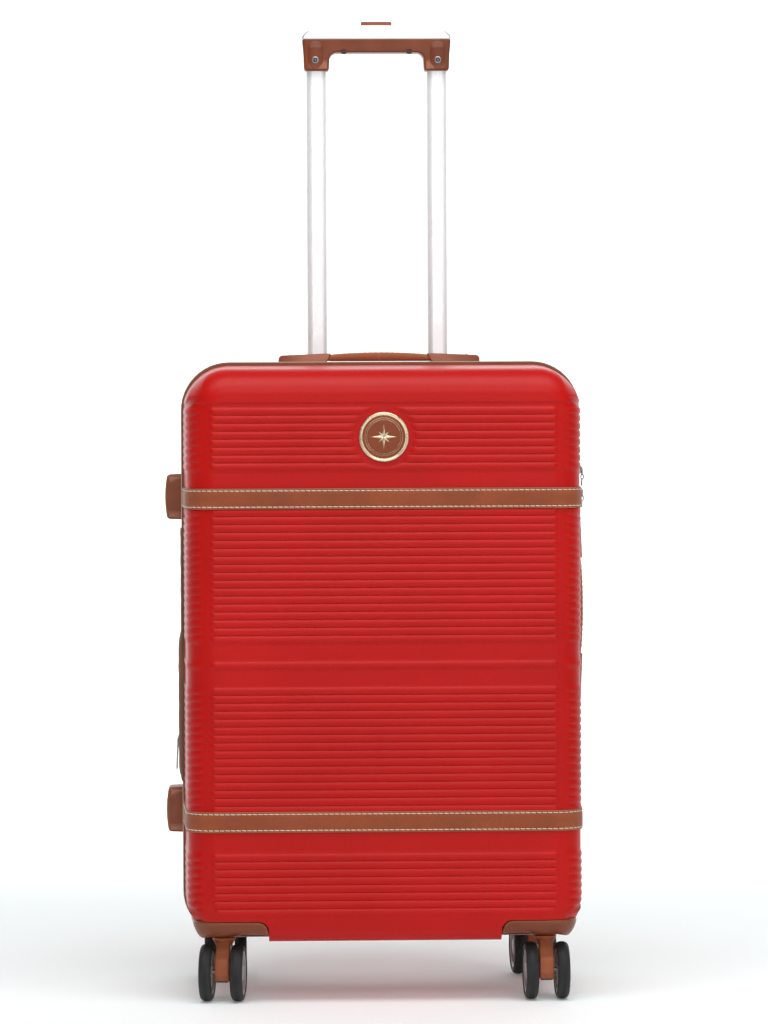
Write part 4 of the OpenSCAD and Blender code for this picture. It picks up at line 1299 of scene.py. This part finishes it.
def make_handle(name, place, node, lift):
    """Two rounded end caps, a stitched grip between them and a base plate under them."""
    edge_w = HANDLE_W / 2
    for s, side in ((-1, "left"), (1, "right")):
        outline = rounded([(CAP_FOOT, -2.5), (HANDLE_END, -2.5), (HANDLE_END, HANDLE_TOP - 2.2),
                           (CAP_TOP, HANDLE_TOP)], [0, 2, 4.5, 0.8], 8)
        outline = [(s * u, v) for u, v in outline]
        cap = slab(f"{name}_cap_{side}", outline, -edge_w, edge_w, place, "tan", "case", 2.6, 5)
        path = [place(s * (HANDLE_END - 13), HANDLE_TOP - 0.9, w)
                for w in np.linspace(-edge_w + 3, edge_w - 3, 12)]
        seam = wire(f"{name}_cap_seam_{side}", path, 0.5, "thread", "case", sides=6)
        dress("tan_plastic", cap, seam)
        grip = build(f"{name}_grip_{side}", *handle_grip(s, place), "leather")
        face_outwards(grip)
        flexible = [grip]
        for across, label in ((-edge_w + 4.2, "front"), (edge_w - 4.2, "back")):
            heap = handle_stitches(s, place, across, lift)
            flexible.append(heap.make(f"{name}_grip_{side}_stitches_{label}", "thread", None))
        start = [c * MM for c in place(s * (CAP_TOP + 1), 8, 0)]
        end = [c * MM for c in place(s * 16, 8, 0)]
        for piece in flexible:
            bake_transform(piece)
        dress("tan_plastic", *flexible, node=node)
    base = rounded(rectangle(-CAP_FOOT - 2, -edge_w + 2, CAP_FOOT + 2, edge_w - 2), 3)
    plate = slab(f"{name}_base", base, -1.0, 0.8, lambda u, v, w: place(u, w, v), "black", "case", 0.5, 2)
    dress("tan_plastic", plate)
    return plate


def make_handles():
    top = make_handle("top_handle", top_place, "top_handle_grip", (0, 0, 1))
    make_handle("side_handle", side_place, "side_handle_grip", (1, 0, 0))
    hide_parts("handle_mounts")


# ---------------------------------------------------------------- side feet

def make_feet():
    """Two rubbery feet on the left side, at the height of the straps, each with two ribs."""
    low, high = box_mm("side_feet")
    half = (high[2] - low[2] - (STRAPS["upper"] - STRAPS["lower"])) / 2
    sole, inner = low[0] + 1.8, -SIDE + 6
    for level, z in STRAPS.items():
        outline = rounded([(sole, z - half + 1.0), (inner, z - half + 0.1), (inner, z + half - 0.1),
                           (sole, z + half - 1.0)], [3, 0, 0, 3], 8)
        bm = slab_bmesh(outline, low[1] + 0.5, high[1] - 0.5, along_y, 3.2, 5)
        long_edges = [e for e in bm.edges if e.calc_length() > 18]
        bmesh.ops.subdivide_edges(bm, edges=long_edges, cuts=5, use_grid_fill=True)
        for v in bm.verts:
            across = (v.co.z - z) / half
            v.co.x -= 2.4 * max(0.0, 1 - across * across) * (1 - smooth(low[0] + 2.8, low[0] + 6, v.co.x))
        foot = from_bmesh(f"side_foot_{level}", bm, "tan", "case")
        dress("tan_plastic", foot)
        for s, label in ((-1, "low"), (1, "high")):
            path = [(low[0] - 0.1 + 0.35 * abs(t), (low[1] + high[1]) / 2 + 13 * t, z + s * 9)
                    for t in np.linspace(-1, 1, 9)]
            dress("tan_plastic", wire(f"side_foot_{level}_rib_{label}", path, 0.7, "tan", "case", sides=8))
    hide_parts("side_feet")


# ---------------------------------------------------------------- corner housings

GUARD_FULL = 6.5        # the outer wall leans out from the shell's rounding by this at its lower edge
ARCH_AT, ARCH_H = 22, 2.8        # arch in the wall's lower edge, above the wheels
GUARD_ROWS = ((1.0, -2.6), (1.0, -0.9), (0.975, -0.15), (0.9, 0.3), (0.7, 0.35), (0.5, 0.35), (0.3, 0.3),
              (0.12, 0.0), (0.03, -0.9), (0.0, -2.4))       # share of the height, distance off the shell
GUARD_STATIONS = [("inner", t) for t in np.linspace(0, 0.93, 8)]
GUARD_STATIONS += [("face", t) for t in (*np.linspace(0, 0.26, 7), 0.35, 0.45, 0.55, 0.65, 0.75, 0.87, 1.0)]
GUARD_STATIONS += [("side", t) for t in np.linspace(0.06, 1, 26)]
GUARD_STATIONS += [("back", t) for t in np.linspace(0.08, 0.94, 10)]


def guard_point(half, sx, kind, t, z, grow):
    """Point of a corner housing's wall at height z, at the share t of one of its four stretches."""
    near_y = POCKET_Y[half.out]
    if kind == "inner":
        face = half.on_face(z, POCKET_X)[0].y
        return Vector((sx * (POCKET_X - grow * 0.3), near_y + (face - near_y) * t, z))
    if kind == "face":
        return half.on_face(z, sx * (POCKET_X + (FLAT_X - POCKET_X) * t), grow)[0]
    begin = half.start(max(0.0, MID_Z - z - FLAT_Z))
    end = abs(near_y - half.rim_y) * half.taper / (half.depth - EDGE_R)
    if kind == "side":
        return half.at(z, begin + (end - begin) * t ** 1.6, sx, grow)[0]
    edge = half.at(z, end, sx, grow)[0]
    return Vector((edge.x + (sx * POCKET_X - edge.x) * t, near_y, z))


def make_guard(corner, half, sx, body):
    """Corner housing: a wall that carries on the shell's rounding, and a floor with a bowl for the swivel."""
    low, high = box_mm(corner + "_guard")
    top, floor = high[2], low[2] + 3.5
    near_y = POCKET_Y[half.out]

    def top_at(x):
        dx = abs(x) - POCKET_X
        if dx >= POCKET_ROUND:
            return top
        return top - POCKET_ROUND + math.sqrt(max(0, POCKET_ROUND ** 2 - (POCKET_ROUND - dx) ** 2))

    def bottom_at(x, y):
        arch = math.cos(max(-1, min(1, (abs(x) - POCKET_X - ARCH_AT) / 20)) * math.pi / 2) ** 2
        return floor + ARCH_H * arch * smooth(0.75, 1.0, abs(y - near_y) / abs(half.face_y - near_y))

    verts = []
    for share, grow in GUARD_ROWS:
        for kind, t in GUARD_STATIONS:
            probe = guard_point(half, sx, kind, t, top, 0)
            z0, z1 = bottom_at(probe.x, probe.y), top_at(probe.x)
            if kind == "inner":
                z1 = top - POCKET_ROUND + 1.5
            fuller = GUARD_FULL * (1 - share) ** 0.9 * (smooth(0, 0.5, t) if kind == "side" else 0)
            verts.append(guard_point(half, sx, kind, t, z0 + (z1 - z0) * share, grow + fuller))
    columns = len(GUARD_STATIONS)
    swivel = Vector(joint(corner + "_swivel")["pos_m"]) / MM
    edge = verts[-columns:]
    for share, z in ((0.75, floor + 0.2), (0.5, floor + 0.1)):
        for p in edge:
            flat = Vector((p.x, p.y, 0)) * share + Vector((swivel.x, swivel.y, 0)) * (1 - share)
            verts.append(Vector((flat.x, flat.y, z + (p.z - floor) * (share - 0.4))))
    faces = grid_faces(len(verts) // columns, columns, closed=True)
    faces += [tuple(range(columns))[::-1], tuple(range(len(verts) - columns, len(verts)))]
    guard = build(corner + "_housing", verts, faces, "brown", body)
    face_outwards(guard)
    profile = [(24, floor + 2.2), (21.5, floor - 0.2), (19.5, floor - 1.6), (17, floor - 2.7),
               (14, low[2] + 0.25), (12.6, low[2]), (5, low[2]), (4.6, low[2] + 0.5)]
    bowl = turned(corner + "_housing_bowl", profile, (swivel.x, swivel.y, 0), (0, 0, 1), "brown", body, 72)
    dress("brown_plastic", guard, bowl, node=corner + "_guard")


CASTERS = {
    "front_left": (FRONT, -1, "lid"),
    "front_right": (FRONT, 1, "lid"),
    "rear_left": (BACK, -1, "case"),
    "rear_right": (BACK, 1, "case"),
}


def make_guards():
    for corner, (half, sx, body) in CASTERS.items():
        make_guard(corner, half, sx, body)


# ---------------------------------------------------------------- casters

class Caster:
    """Frame of one caster: u the way its wheels trail, v up, w along the wheels' axle."""

    def __init__(self, corner):
        spin = joint(corner + "_outer_spin")
        self.corner = corner
        self.swivel = Vector(joint(corner + "_swivel")["pos_m"]) / MM
        self.axle = Vector(spin["pos_m"]) / MM
        self.across = Vector(spin["axis"]).normalized()
        self.trailing = self.across.cross(Vector((0, 0, 1)))
        if self.trailing.dot(self.axle - self.swivel) < 0:
            self.trailing = -self.trailing
        self.trail = self.trailing.dot(self.axle - self.swivel)

    def place(self, u, v, w):
        return tuple(Vector((self.swivel.x, self.swivel.y, v)) + self.trailing * u + self.across * w)


def make_fork(caster):
    """Fork between the two wheels, its round crown under the housing, and a thin black plate under it painted
    as the shade of its underside.
    """
    body = caster.corner + "_caster"
    top = box_mm(caster.corner + "_fork")[1][2]
    trail, axle_z, half_w = caster.trail, caster.axle.z, 7.5
    outline = rounded([(-8.8, top - 5), (-8.6, top - 12), (-4.5, axle_z + 12), (trail - 8, axle_z - 3),
                       (trail - 6.5, axle_z - 9), (trail + 7, axle_z - 9), (trail + 10.4, axle_z - 2),
                       (trail + 9.8, axle_z + 13), (8.8, top - 5)], [0, 6, 8, 4, 3, 4, 6, 10, 0], 7)
    arm = slab(body + "_arm", outline, -half_w, half_w, caster.place, "fork", body, 1.8, 4)
    profile = [(4.6, top - 0.2), (11.2, top - 0.2), (11.9, top - 0.8), (11.9, top - 2.6), (11.2, top - 3.4),
               (9.9, top - 5.4), (8.7, top - 7.8), (8.3, top - 10), (0, top - 10)]
    at = (caster.swivel.x, caster.swivel.y, 0)
    crown = turned(body + "_crown", profile, at, (0, 0, 1), "fork", body, 72)
    # thin black plate under the fork for its shaded underside: painted shade
    outline = rounded(rectangle(trail - 6.8, -6.2, trail + 7, 6.2), 1.5)
    foot = slab(body + "_foot", outline, axle_z - 9.6, axle_z - 8.0, lambda u, v, w: caster.place(u, w, v),
                "black", body, 0.4, 2)
    dress("tan_plastic", arm, crown, foot, node=caster.corner + "_fork")


WHEEL_W = 13


def make_wheel(caster, which):
    """Grooved tyre on a six-spoked hub; the wheel stands on the floor."""
    name = f"{caster.corner}_{which}_wheel"
    low, high = box_mm(name)
    middle = Vector((low + high) / 2)
    out = caster.across * (1 if (middle - caster.axle).dot(caster.across) > 0 else -1)
    wide = WHEEL_W
    start = (middle - caster.axle).dot(out) - wide / 2
    centre = Vector((caster.swivel.x, caster.swivel.y, caster.axle.z))
    centre = centre + caster.trailing * caster.trail + out * start
    radius = caster.axle.z
    rim = radius - 6.5
    groove = [(radius - 0.02, 0.0), (radius - 0.35, 0.12), (radius - 0.35, 0.5), (radius - 0.02, 0.62)]
    tread = [(rim, 0.5), (rim + 0.6, 0.05), (radius - 3.6, 0.1), (radius - 1.9, 0.9), (radius - 0.9, 2.2),
             (radius - 0.3, 4.0)]
    for at in (4.6, wide / 2 - 0.31, wide - 5.2):
        tread += [(r, at + h) for r, h in groove]
    tread += [(radius - 0.3, wide - 4.0), (radius - 0.9, wide - 2.2), (radius - 1.9, wide - 0.9),
              (radius - 3.6, wide - 0.1), (rim + 0.6, wide - 0.05), (rim, wide - 0.5), (rim, wide / 2),
              (rim, 0.5)]
    tyre = turned(name + "_tyre", tread, centre, out, "tyre", name, 96)
    profile = [(3.2, 1.0), (6.5, 1.0), (7.2, 1.6), (7.6, 3.6), (18.6, 3.6), (19.6, 1.9), (20.4, 1.0),
               (rim - 0.2, 0.8), (rim, 1.2), (rim, wide - 1.6), (rim - 0.3, wide - 1.0),
               (rim - 2.2, wide - 1.1), (rim - 3.2, wide - 2.0), (rim - 4.0, wide - 3.6), (9.6, wide - 4.2),
               (8.4, wide - 3.4), (7.9, wide - 1.7), (7.2, wide - 1.1), (3.6, wide - 0.9), (0, wide - 0.85)]
    hub = turned(name + "_hub", profile, centre, out, "hub", name, 96)
    heap = Heap()
    for k in range(6):
        a = math.pi * k / 3
        ray = (caster.trailing * math.cos(a) + Vector((0, 0, 1)) * math.sin(a)).normalized()
        around = ray.cross(out).normalized()
        for depth, tall in ((wide - 3.4, 2.4), (3.2, 2.2)):
            heap.brick(centre + ray * 13.6 + out * depth, ray, around, out * (1 if depth > wide / 2 else -1),
                       (11.4, 2.2, tall), 0.8)
    ribs = heap.make(name + "_ribs", "hub", name, smooth_faces=False)
    dress("wheel", tyre, hub, ribs, node=name)


def make_casters():
    for corner in CASTERS:
        caster = Caster(corner)
        make_fork(caster)
        make_wheel(caster, "outer")
        make_wheel(caster, "inner")


# ---------------------------------------------------------------- trolley grip

GRIP_LOW, GRIP_HIGH = box_mm("grip_body")
GRIP_HALF = GRIP_HIGH[0] - 0.3
GRIP_FRONT, GRIP_BACK = GRIP_LOW[1] + 0.3, GRIP_HIGH[1] - 0.3
GRIP_LEG, GRIP_BAR = 50, 991        # inner side of a leg, underside of the bar
COVER_LOW, COVER_HIGH = box_mm("grip_cover")
COVER_RISE, COVER_END_Z = COVER_HIGH[2] + 0.6, COVER_HIGH[2] - 4.4      # in the middle and at the ends
COVER_ARCH = GRIP_HALF - 7          # the arch ends where the cover's end caps begin
SIDES = (("left", -1), ("right", 1))


def make_grip_body():
    """Moulded grip with a swell down each leg, and two black discs under the bar painted as the shade of
    notches.
    """
    half, leg, bar, foot, top = GRIP_HALF, GRIP_LEG, GRIP_BAR, GRIP_LOW[2] + 0.2, GRIP_HIGH[2]
    outline = rounded([(-half + 2.2, foot), (-leg - 1, foot), (-leg, bar), (leg, bar), (leg + 1, foot),
                       (half - 2.2, foot), (half - 1.5, bar - 1), (half, top), (-half, top),
                       (-half + 1.5, bar - 1)], [3, 2.4, 8, 8, 2.4, 3, 30, 3, 3, 30], 9)
    grip = slab("grip_body_moulded", outline, GRIP_FRONT, GRIP_BACK, along_y, "brown", "trolley", 4.6, 6)
    dress("tan_plastic", grip, node="grip_body")
    # black discs stand on the surface in place of two notches: painted shade
    notch_shade_profile = [(0, -0.6), (3.2, -0.5), (3.5, 0.0), (3.2, 0.3), (2.4, 0.2), (0, 0.1)]
    for side, sx in SIDES:
        for face, y, out in (("front", GRIP_FRONT, -1), ("back", GRIP_BACK, 1)):
            path = [(sx * 65.5, y + out * (0.1 - smooth(0.75, 1, t)), GRIP_LOW[2] + 8.6 + 20.5 * t)
                    for t in np.linspace(0, 1, 24)]
            swell = wire(f"grip_swell_{side}_{face}", path, 8.2, "brown", "trolley", sides=36, flat=0.2,
                         up=(1, 0, 0))
        notch_shade_disc = turned("grip_notch_shade_" + side, notch_shade_profile, (sx * 35, GRIP_FRONT + 1.1, bar + 1.1), (0, -0.75, -0.66),
                      "black", "trolley", 32)


def make_grip_cover():
    """Silver cover, arched between two sloped end caps that are painted darker as shade."""
    edge, foot = GRIP_HALF - 0.4, COVER_LOW[2] - 1.2
    arch = [(x, COVER_RISE - (COVER_RISE - COVER_END_Z) * (abs(x) / COVER_ARCH) ** 2.2)
            for x in np.linspace(COVER_ARCH, -COVER_ARCH, 31)]
    corner = [(edge, foot), (edge, COVER_LOW[2] + 1.6), (GRIP_HALF - 1.2, COVER_LOW[2] + 3.2)]
    outline = [(-edge, foot)] + corner + arch + [(-x, z) for x, z in corner[:0:-1]]
    cover = slab("grip_cover_arched", outline, GRIP_FRONT + 0.2, GRIP_BACK - 0.2, along_y, "cover", "trolley",
                 1.3, 4)
    # faces past the arch take the darker copy of the silver: painted shade on the sloped ends
    cover.data.materials.append(MATERIALS["cover_end_painted_shade"])
    for face in cover.data.polygons:
        if abs(face.center.x) > COVER_ARCH * MM:
            face.material_index = 1
    dress("silver_cover", cover, node="grip_cover")
    for side, sx in SIDES:
        path = [(sx * (COVER_ARCH - 0.2), (GRIP_FRONT + GRIP_BACK) / 2 + 11.5 * t,
                 COVER_END_Z + 0.2 - 0.5 * abs(t) ** 6) for t in np.linspace(-1, 1, 15)]
        seam = wire("grip_cover_seam_" + side, path, 0.35, "black", "trolley", sides=6)


def make_grip_button():
    """Push button, and a black ring round it painted as the shade in the gap."""
    low, high = box_mm("grip_button")
    middle = (low[1] + high[1]) / 2

    def well(grow, radius):
        return rounded(rectangle(-16.5 - grow, middle - 7.5 - grow, 16.5 + grow, middle + 7.5 + grow), radius)

    rise = COVER_RISE
    # a black ring in place of the gap round the button: painted shade
    gap_shade_ring = slab("grip_button_gap_shade", well(0.8, 5.8), rise - 1.5, rise + 0.1, along_z, "black",
                    "trolley", 0.2, 2)
    button = slab("grip_button_cap", well(0, 5), rise - 6, high[2] + 0.5, along_z, "tan", "button", 1.0, 4)
    dress("tan_plastic", button, node="grip_button")


def make_grip_screws():
    """A steel cup, a dark head and its cross on the front of each leg."""
    low, high = box_mm("grip_screws")
    forward = Vector((0, -1, 0))
    for side, x in (("left", low[0] + 1.85), ("right", high[0] - 1.85)):
        centre = Vector((x, GRIP_FRONT - 1.75, (low[2] + high[2]) / 2))
        profile = [(3.6, -0.6), (3.6, 0.3), (3.2, 0.55), (2.4, 0.5), (2.1, 0.1), (2, -0.3)]
        cup = turned("grip_screw_cup_" + side, profile, centre, forward, "steel", "trolley", 40)
        profile = [(2.2, -0.3), (2.1, 0.05), (1.5, 0.22), (0.8, 0.28), (0, 0.3)]
        head = turned("grip_screw_" + side, profile, centre, forward, "black", "trolley", 40)
        heap = Heap()
        right, up = Vector((1, 0, 0)), Vector((0, 0, 1))
        for along, across in ((right, up), (up, -right)):
            heap.brick(centre + forward * 0.28, along, across, forward, (2.4, 0.5, 0.2), 0.9)
        cross = heap.make("grip_screw_cross_" + side, "steel", "trolley", smooth_faces=False)
        dress("steel", head, cup, cross)
    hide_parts("grip_screws")


# ---------------------------------------------------------------- lock and zip sliders

def numeral(text, size):
    """Vertices and faces of one character, in millimetres, centred, in X and Y."""
    curve = bpy.data.curves.new("numeral", "FONT")
    curve.body = text
    curve.size = size
    curve.align_x, curve.align_y = "CENTER", "CENTER"
    curve.extrude = 0.05
    curve.resolution_u = 3
    obj = bpy.data.objects.new("numeral", curve)
    scene.collection.objects.link(obj)
    mesh = bpy.data.meshes.new_from_object(obj.evaluated_get(bpy.context.evaluated_depsgraph_get()))
    verts = [v.co.copy() for v in mesh.vertices]
    faces = [tuple(p.vertices) for p in mesh.polygons]
    bpy.data.objects.remove(obj)
    bpy.data.meshes.remove(mesh)
    bpy.data.curves.remove(curve)
    return verts, faces


def make_dials():
    """Three knurled number wheels."""
    digits = [numeral(str(d), 2.7) for d in range(10)]
    steps = 80
    for i in (1, 2, 3):
        node = f"lock_dial_{i}"
        low, high = box_mm(node)
        centre = (Vector(low) + Vector(high)) / 2
        radius, half = (high[0] - low[0]) / 2, (high[2] - low[2]) / 2
        profile = [(1.2, -half, 0), (radius - 1.2, -half + 0.05, 0), (radius - 0.7, -half + 0.15, 0.5),
                   (radius - 0.2, -half + 0.6, 1), (radius - 0.2, half - 0.6, 1),
                   (radius - 0.7, half - 0.15, 0.5), (radius - 1.2, half - 0.05, 0), (1.2, half, 0)]
        verts = []
        for r, h, knurl in profile:
            for k in range(steps):
                a = 2 * math.pi * k / steps
                tooth = 0.28 * knurl * (1 if k % 8 in (3, 4) else 0)
                verts.append(centre + Vector(((r - tooth) * math.cos(a), (r - tooth) * math.sin(a), h)))
        faces = grid_faces(len(profile), steps, closed=True)
        dial = build(node + "_knurled", verts, faces, "cover", f"dial_{i}")
        heap = Heap()
        for d, (shape, cells) in enumerate(digits):
            a = 2 * math.pi * d / 10
            out, side = Vector((math.cos(a), math.sin(a), 0)), Vector((-math.sin(a), math.cos(a), 0))
            at = centre + out * (radius - 0.18)
            heap.add([at + side * v.x + Vector((0, 0, 1)) * v.y + out * v.z for v in shape], cells)
        numbers = heap.make(node + "_numbers", "black", f"dial_{i}", smooth_faces=False)
        dress("steel", dial, numbers, node=node)


def loop_puller(node, sx, top, end, out, metal, body):
    """A long wire loop with a plate at its end."""
    half_w, begin = 2.5, top - 5.2
    loop = rounded([(-half_w * 0.6, begin), (half_w * 0.6, begin), (half_w, begin - 8), (half_w, end),
                    (-half_w, end), (-half_w, begin - 8)], [1.2, 1.2, 4, 2.4, 2.4, 4], 7)
    path = [out(u, v, 2.9 + 3.6 * smooth(begin, begin - 14, v)) for u, v in loop]
    plate = rounded(rectangle(-1.7, end + 12, 1.7, end + 1.5), 1.0)
    return [wire(node + "_puller", path, 0.95, metal, body, closed=True, sides=12, up=(sx, 0, 0)),
            slab(node + "_puller_tip", plate, 5.9, 7.0, out, metal, body, 0.3, 2)]


def ring_puller(node, top, end, out, metal, body):
    """Two linked rings and a flat tab."""
    pieces = []
    for k, (centre_z, turn) in enumerate(((top - 7.4, 0.0), (top - 11.8, 1.0))):
        path = []
        for a in np.linspace(0, 2 * math.pi, 28, endpoint=False):
            u, v = 2.7 * math.cos(a), 2.9 * math.sin(a)
            path.append(out(u * (1 - 0.55 * turn), centre_z + v, 3.1 + 0.55 * u * turn + 0.25))
        pieces.append(wire(f"{node}_ring_{k + 1}", path, 0.55, metal, body, closed=True, sides=10))
    tab = rounded([(-1.1, top - 13.2), (1.1, top - 13.2), (2.5, end + 4), (1.8, end), (-1.8, end),
                   (-2.5, end + 4)], [0.6, 0.6, 1.6, 1.2, 1.2, 1.6], 6)
    pieces.append(slab(node + "_puller", tab, 1.9, 3.5, out, metal, body, 0.5, 3))
    return pieces


def make_slider(node, body, sx, gunmetal, long_puller):
    """Zip slider with two plates and a bail, and a puller on rings or a long loop."""
    low, high = box_mm(node)
    face = low[0] if sx > 0 else high[0]
    y, top = (low[1] + high[1]) / 2, high[2]
    metal = "steel" if gunmetal else "chrome"

    def out(u, v, w):
        return (face + sx * w, y + u, v)

    wide, tall = 3.8, 9
    shape = rounded([(-wide * 0.72, top), (wide * 0.72, top), (wide, top - 3.4), (wide * 0.62, top - tall),
                     (-wide * 0.62, top - tall), (-wide, top - 3.4)], 1.2, 5)
    smaller = [(u * 0.86, top - tall / 2 + (v - top + tall / 2) * 0.9) for u, v in shape]
    bail = [out(0, top - 1.4 - 6.2 * t, 2.3 + 1.35 * math.sin(math.pi * t)) for t in np.linspace(0, 1, 13)]
    neck = rounded(rectangle(-1.2, top - 3, 1.2, top - 0.4), 0.4)
    pieces = [slab(node + "_plate", shape, -0.1, 1.0, out, metal, body, 0.35, 3),
              slab(node + "_body", smaller, 1.5, 2.6, out, metal, body, 0.45, 3),
              slab(node + "_neck", neck, 0.2, 2.2, out, metal, body, 0.2, 2),
              wire(node + "_bail", bail, 0.55, metal, body, sides=10, flat=1.7, up=(sx, 0, 0))]
    if long_puller:
        pieces += loop_puller(node, sx, top, low[2] + 0.6, out, metal, body)
    else:
        pieces += ring_puller(node, top, low[2] + 0.4, out, metal, body)
    dress("steel" if gunmetal else "zip_metal", *pieces, node=node)


def make_sliders():
    make_slider("zip_slider_upper", "upper_slider", 1, True, False)
    make_slider("zip_slider_lower", "lower_slider", 1, True, False)
    make_slider("expander_slider", "expansion_slider", -1, False, True)


# ---------------------------------------------------------------- parts kept from the CAD frame

CAD_LOOKS = {       # material and bevel in millimetres
    "trolley_cup": ("brown", 0.8),
    "rails": ("silver", 0.2),
    "rail_bracket": ("black", 0.5),
    "left_tube": ("silver", 0.0),
    "right_tube": ("silver", 0.0),
    "push_rods": ("steel", 0.0),
    "lock_case": ("steel", 0.35),
    "lock_button": ("chrome", 0.4),
    "front_swivel_pins": ("steel", 0.3),
    "rear_swivel_pins": ("steel", 0.3),
    **{corner + "_axle": ("steel", 0.4) for corner in CASTERS},
}


def dress_cad():
    """Materials and softened edges for the CAD parts that stay as they are."""
    for node, (material, bevel) in CAD_LOOKS.items():
        part = frame["nodes"][node]
        part.data.materials.clear()
        part.data.materials.append(MATERIALS[material])
        if bevel:
            edge = part.modifiers.new("edge", "BEVEL")
            edge.width = bevel * MM
            edge.segments = 3
            edge.limit_method = "ANGLE"
            edge.angle_limit = math.radians(40)
            edge.harden_normals = False


# ---------------------------------------------------------------- the scene

make_camera()
make_lights()
make_floor()
make_shells()
make_straps()
make_badge()
make_zips()
make_gusset()
make_hinge_tape()
make_linings()
make_packing_straps()
make_handles()
make_feet()
make_guards()
make_casters()
make_grip_body()
make_grip_cover()
make_grip_button()
make_grip_screws()
make_dials()
make_sliders()
dress_cad()
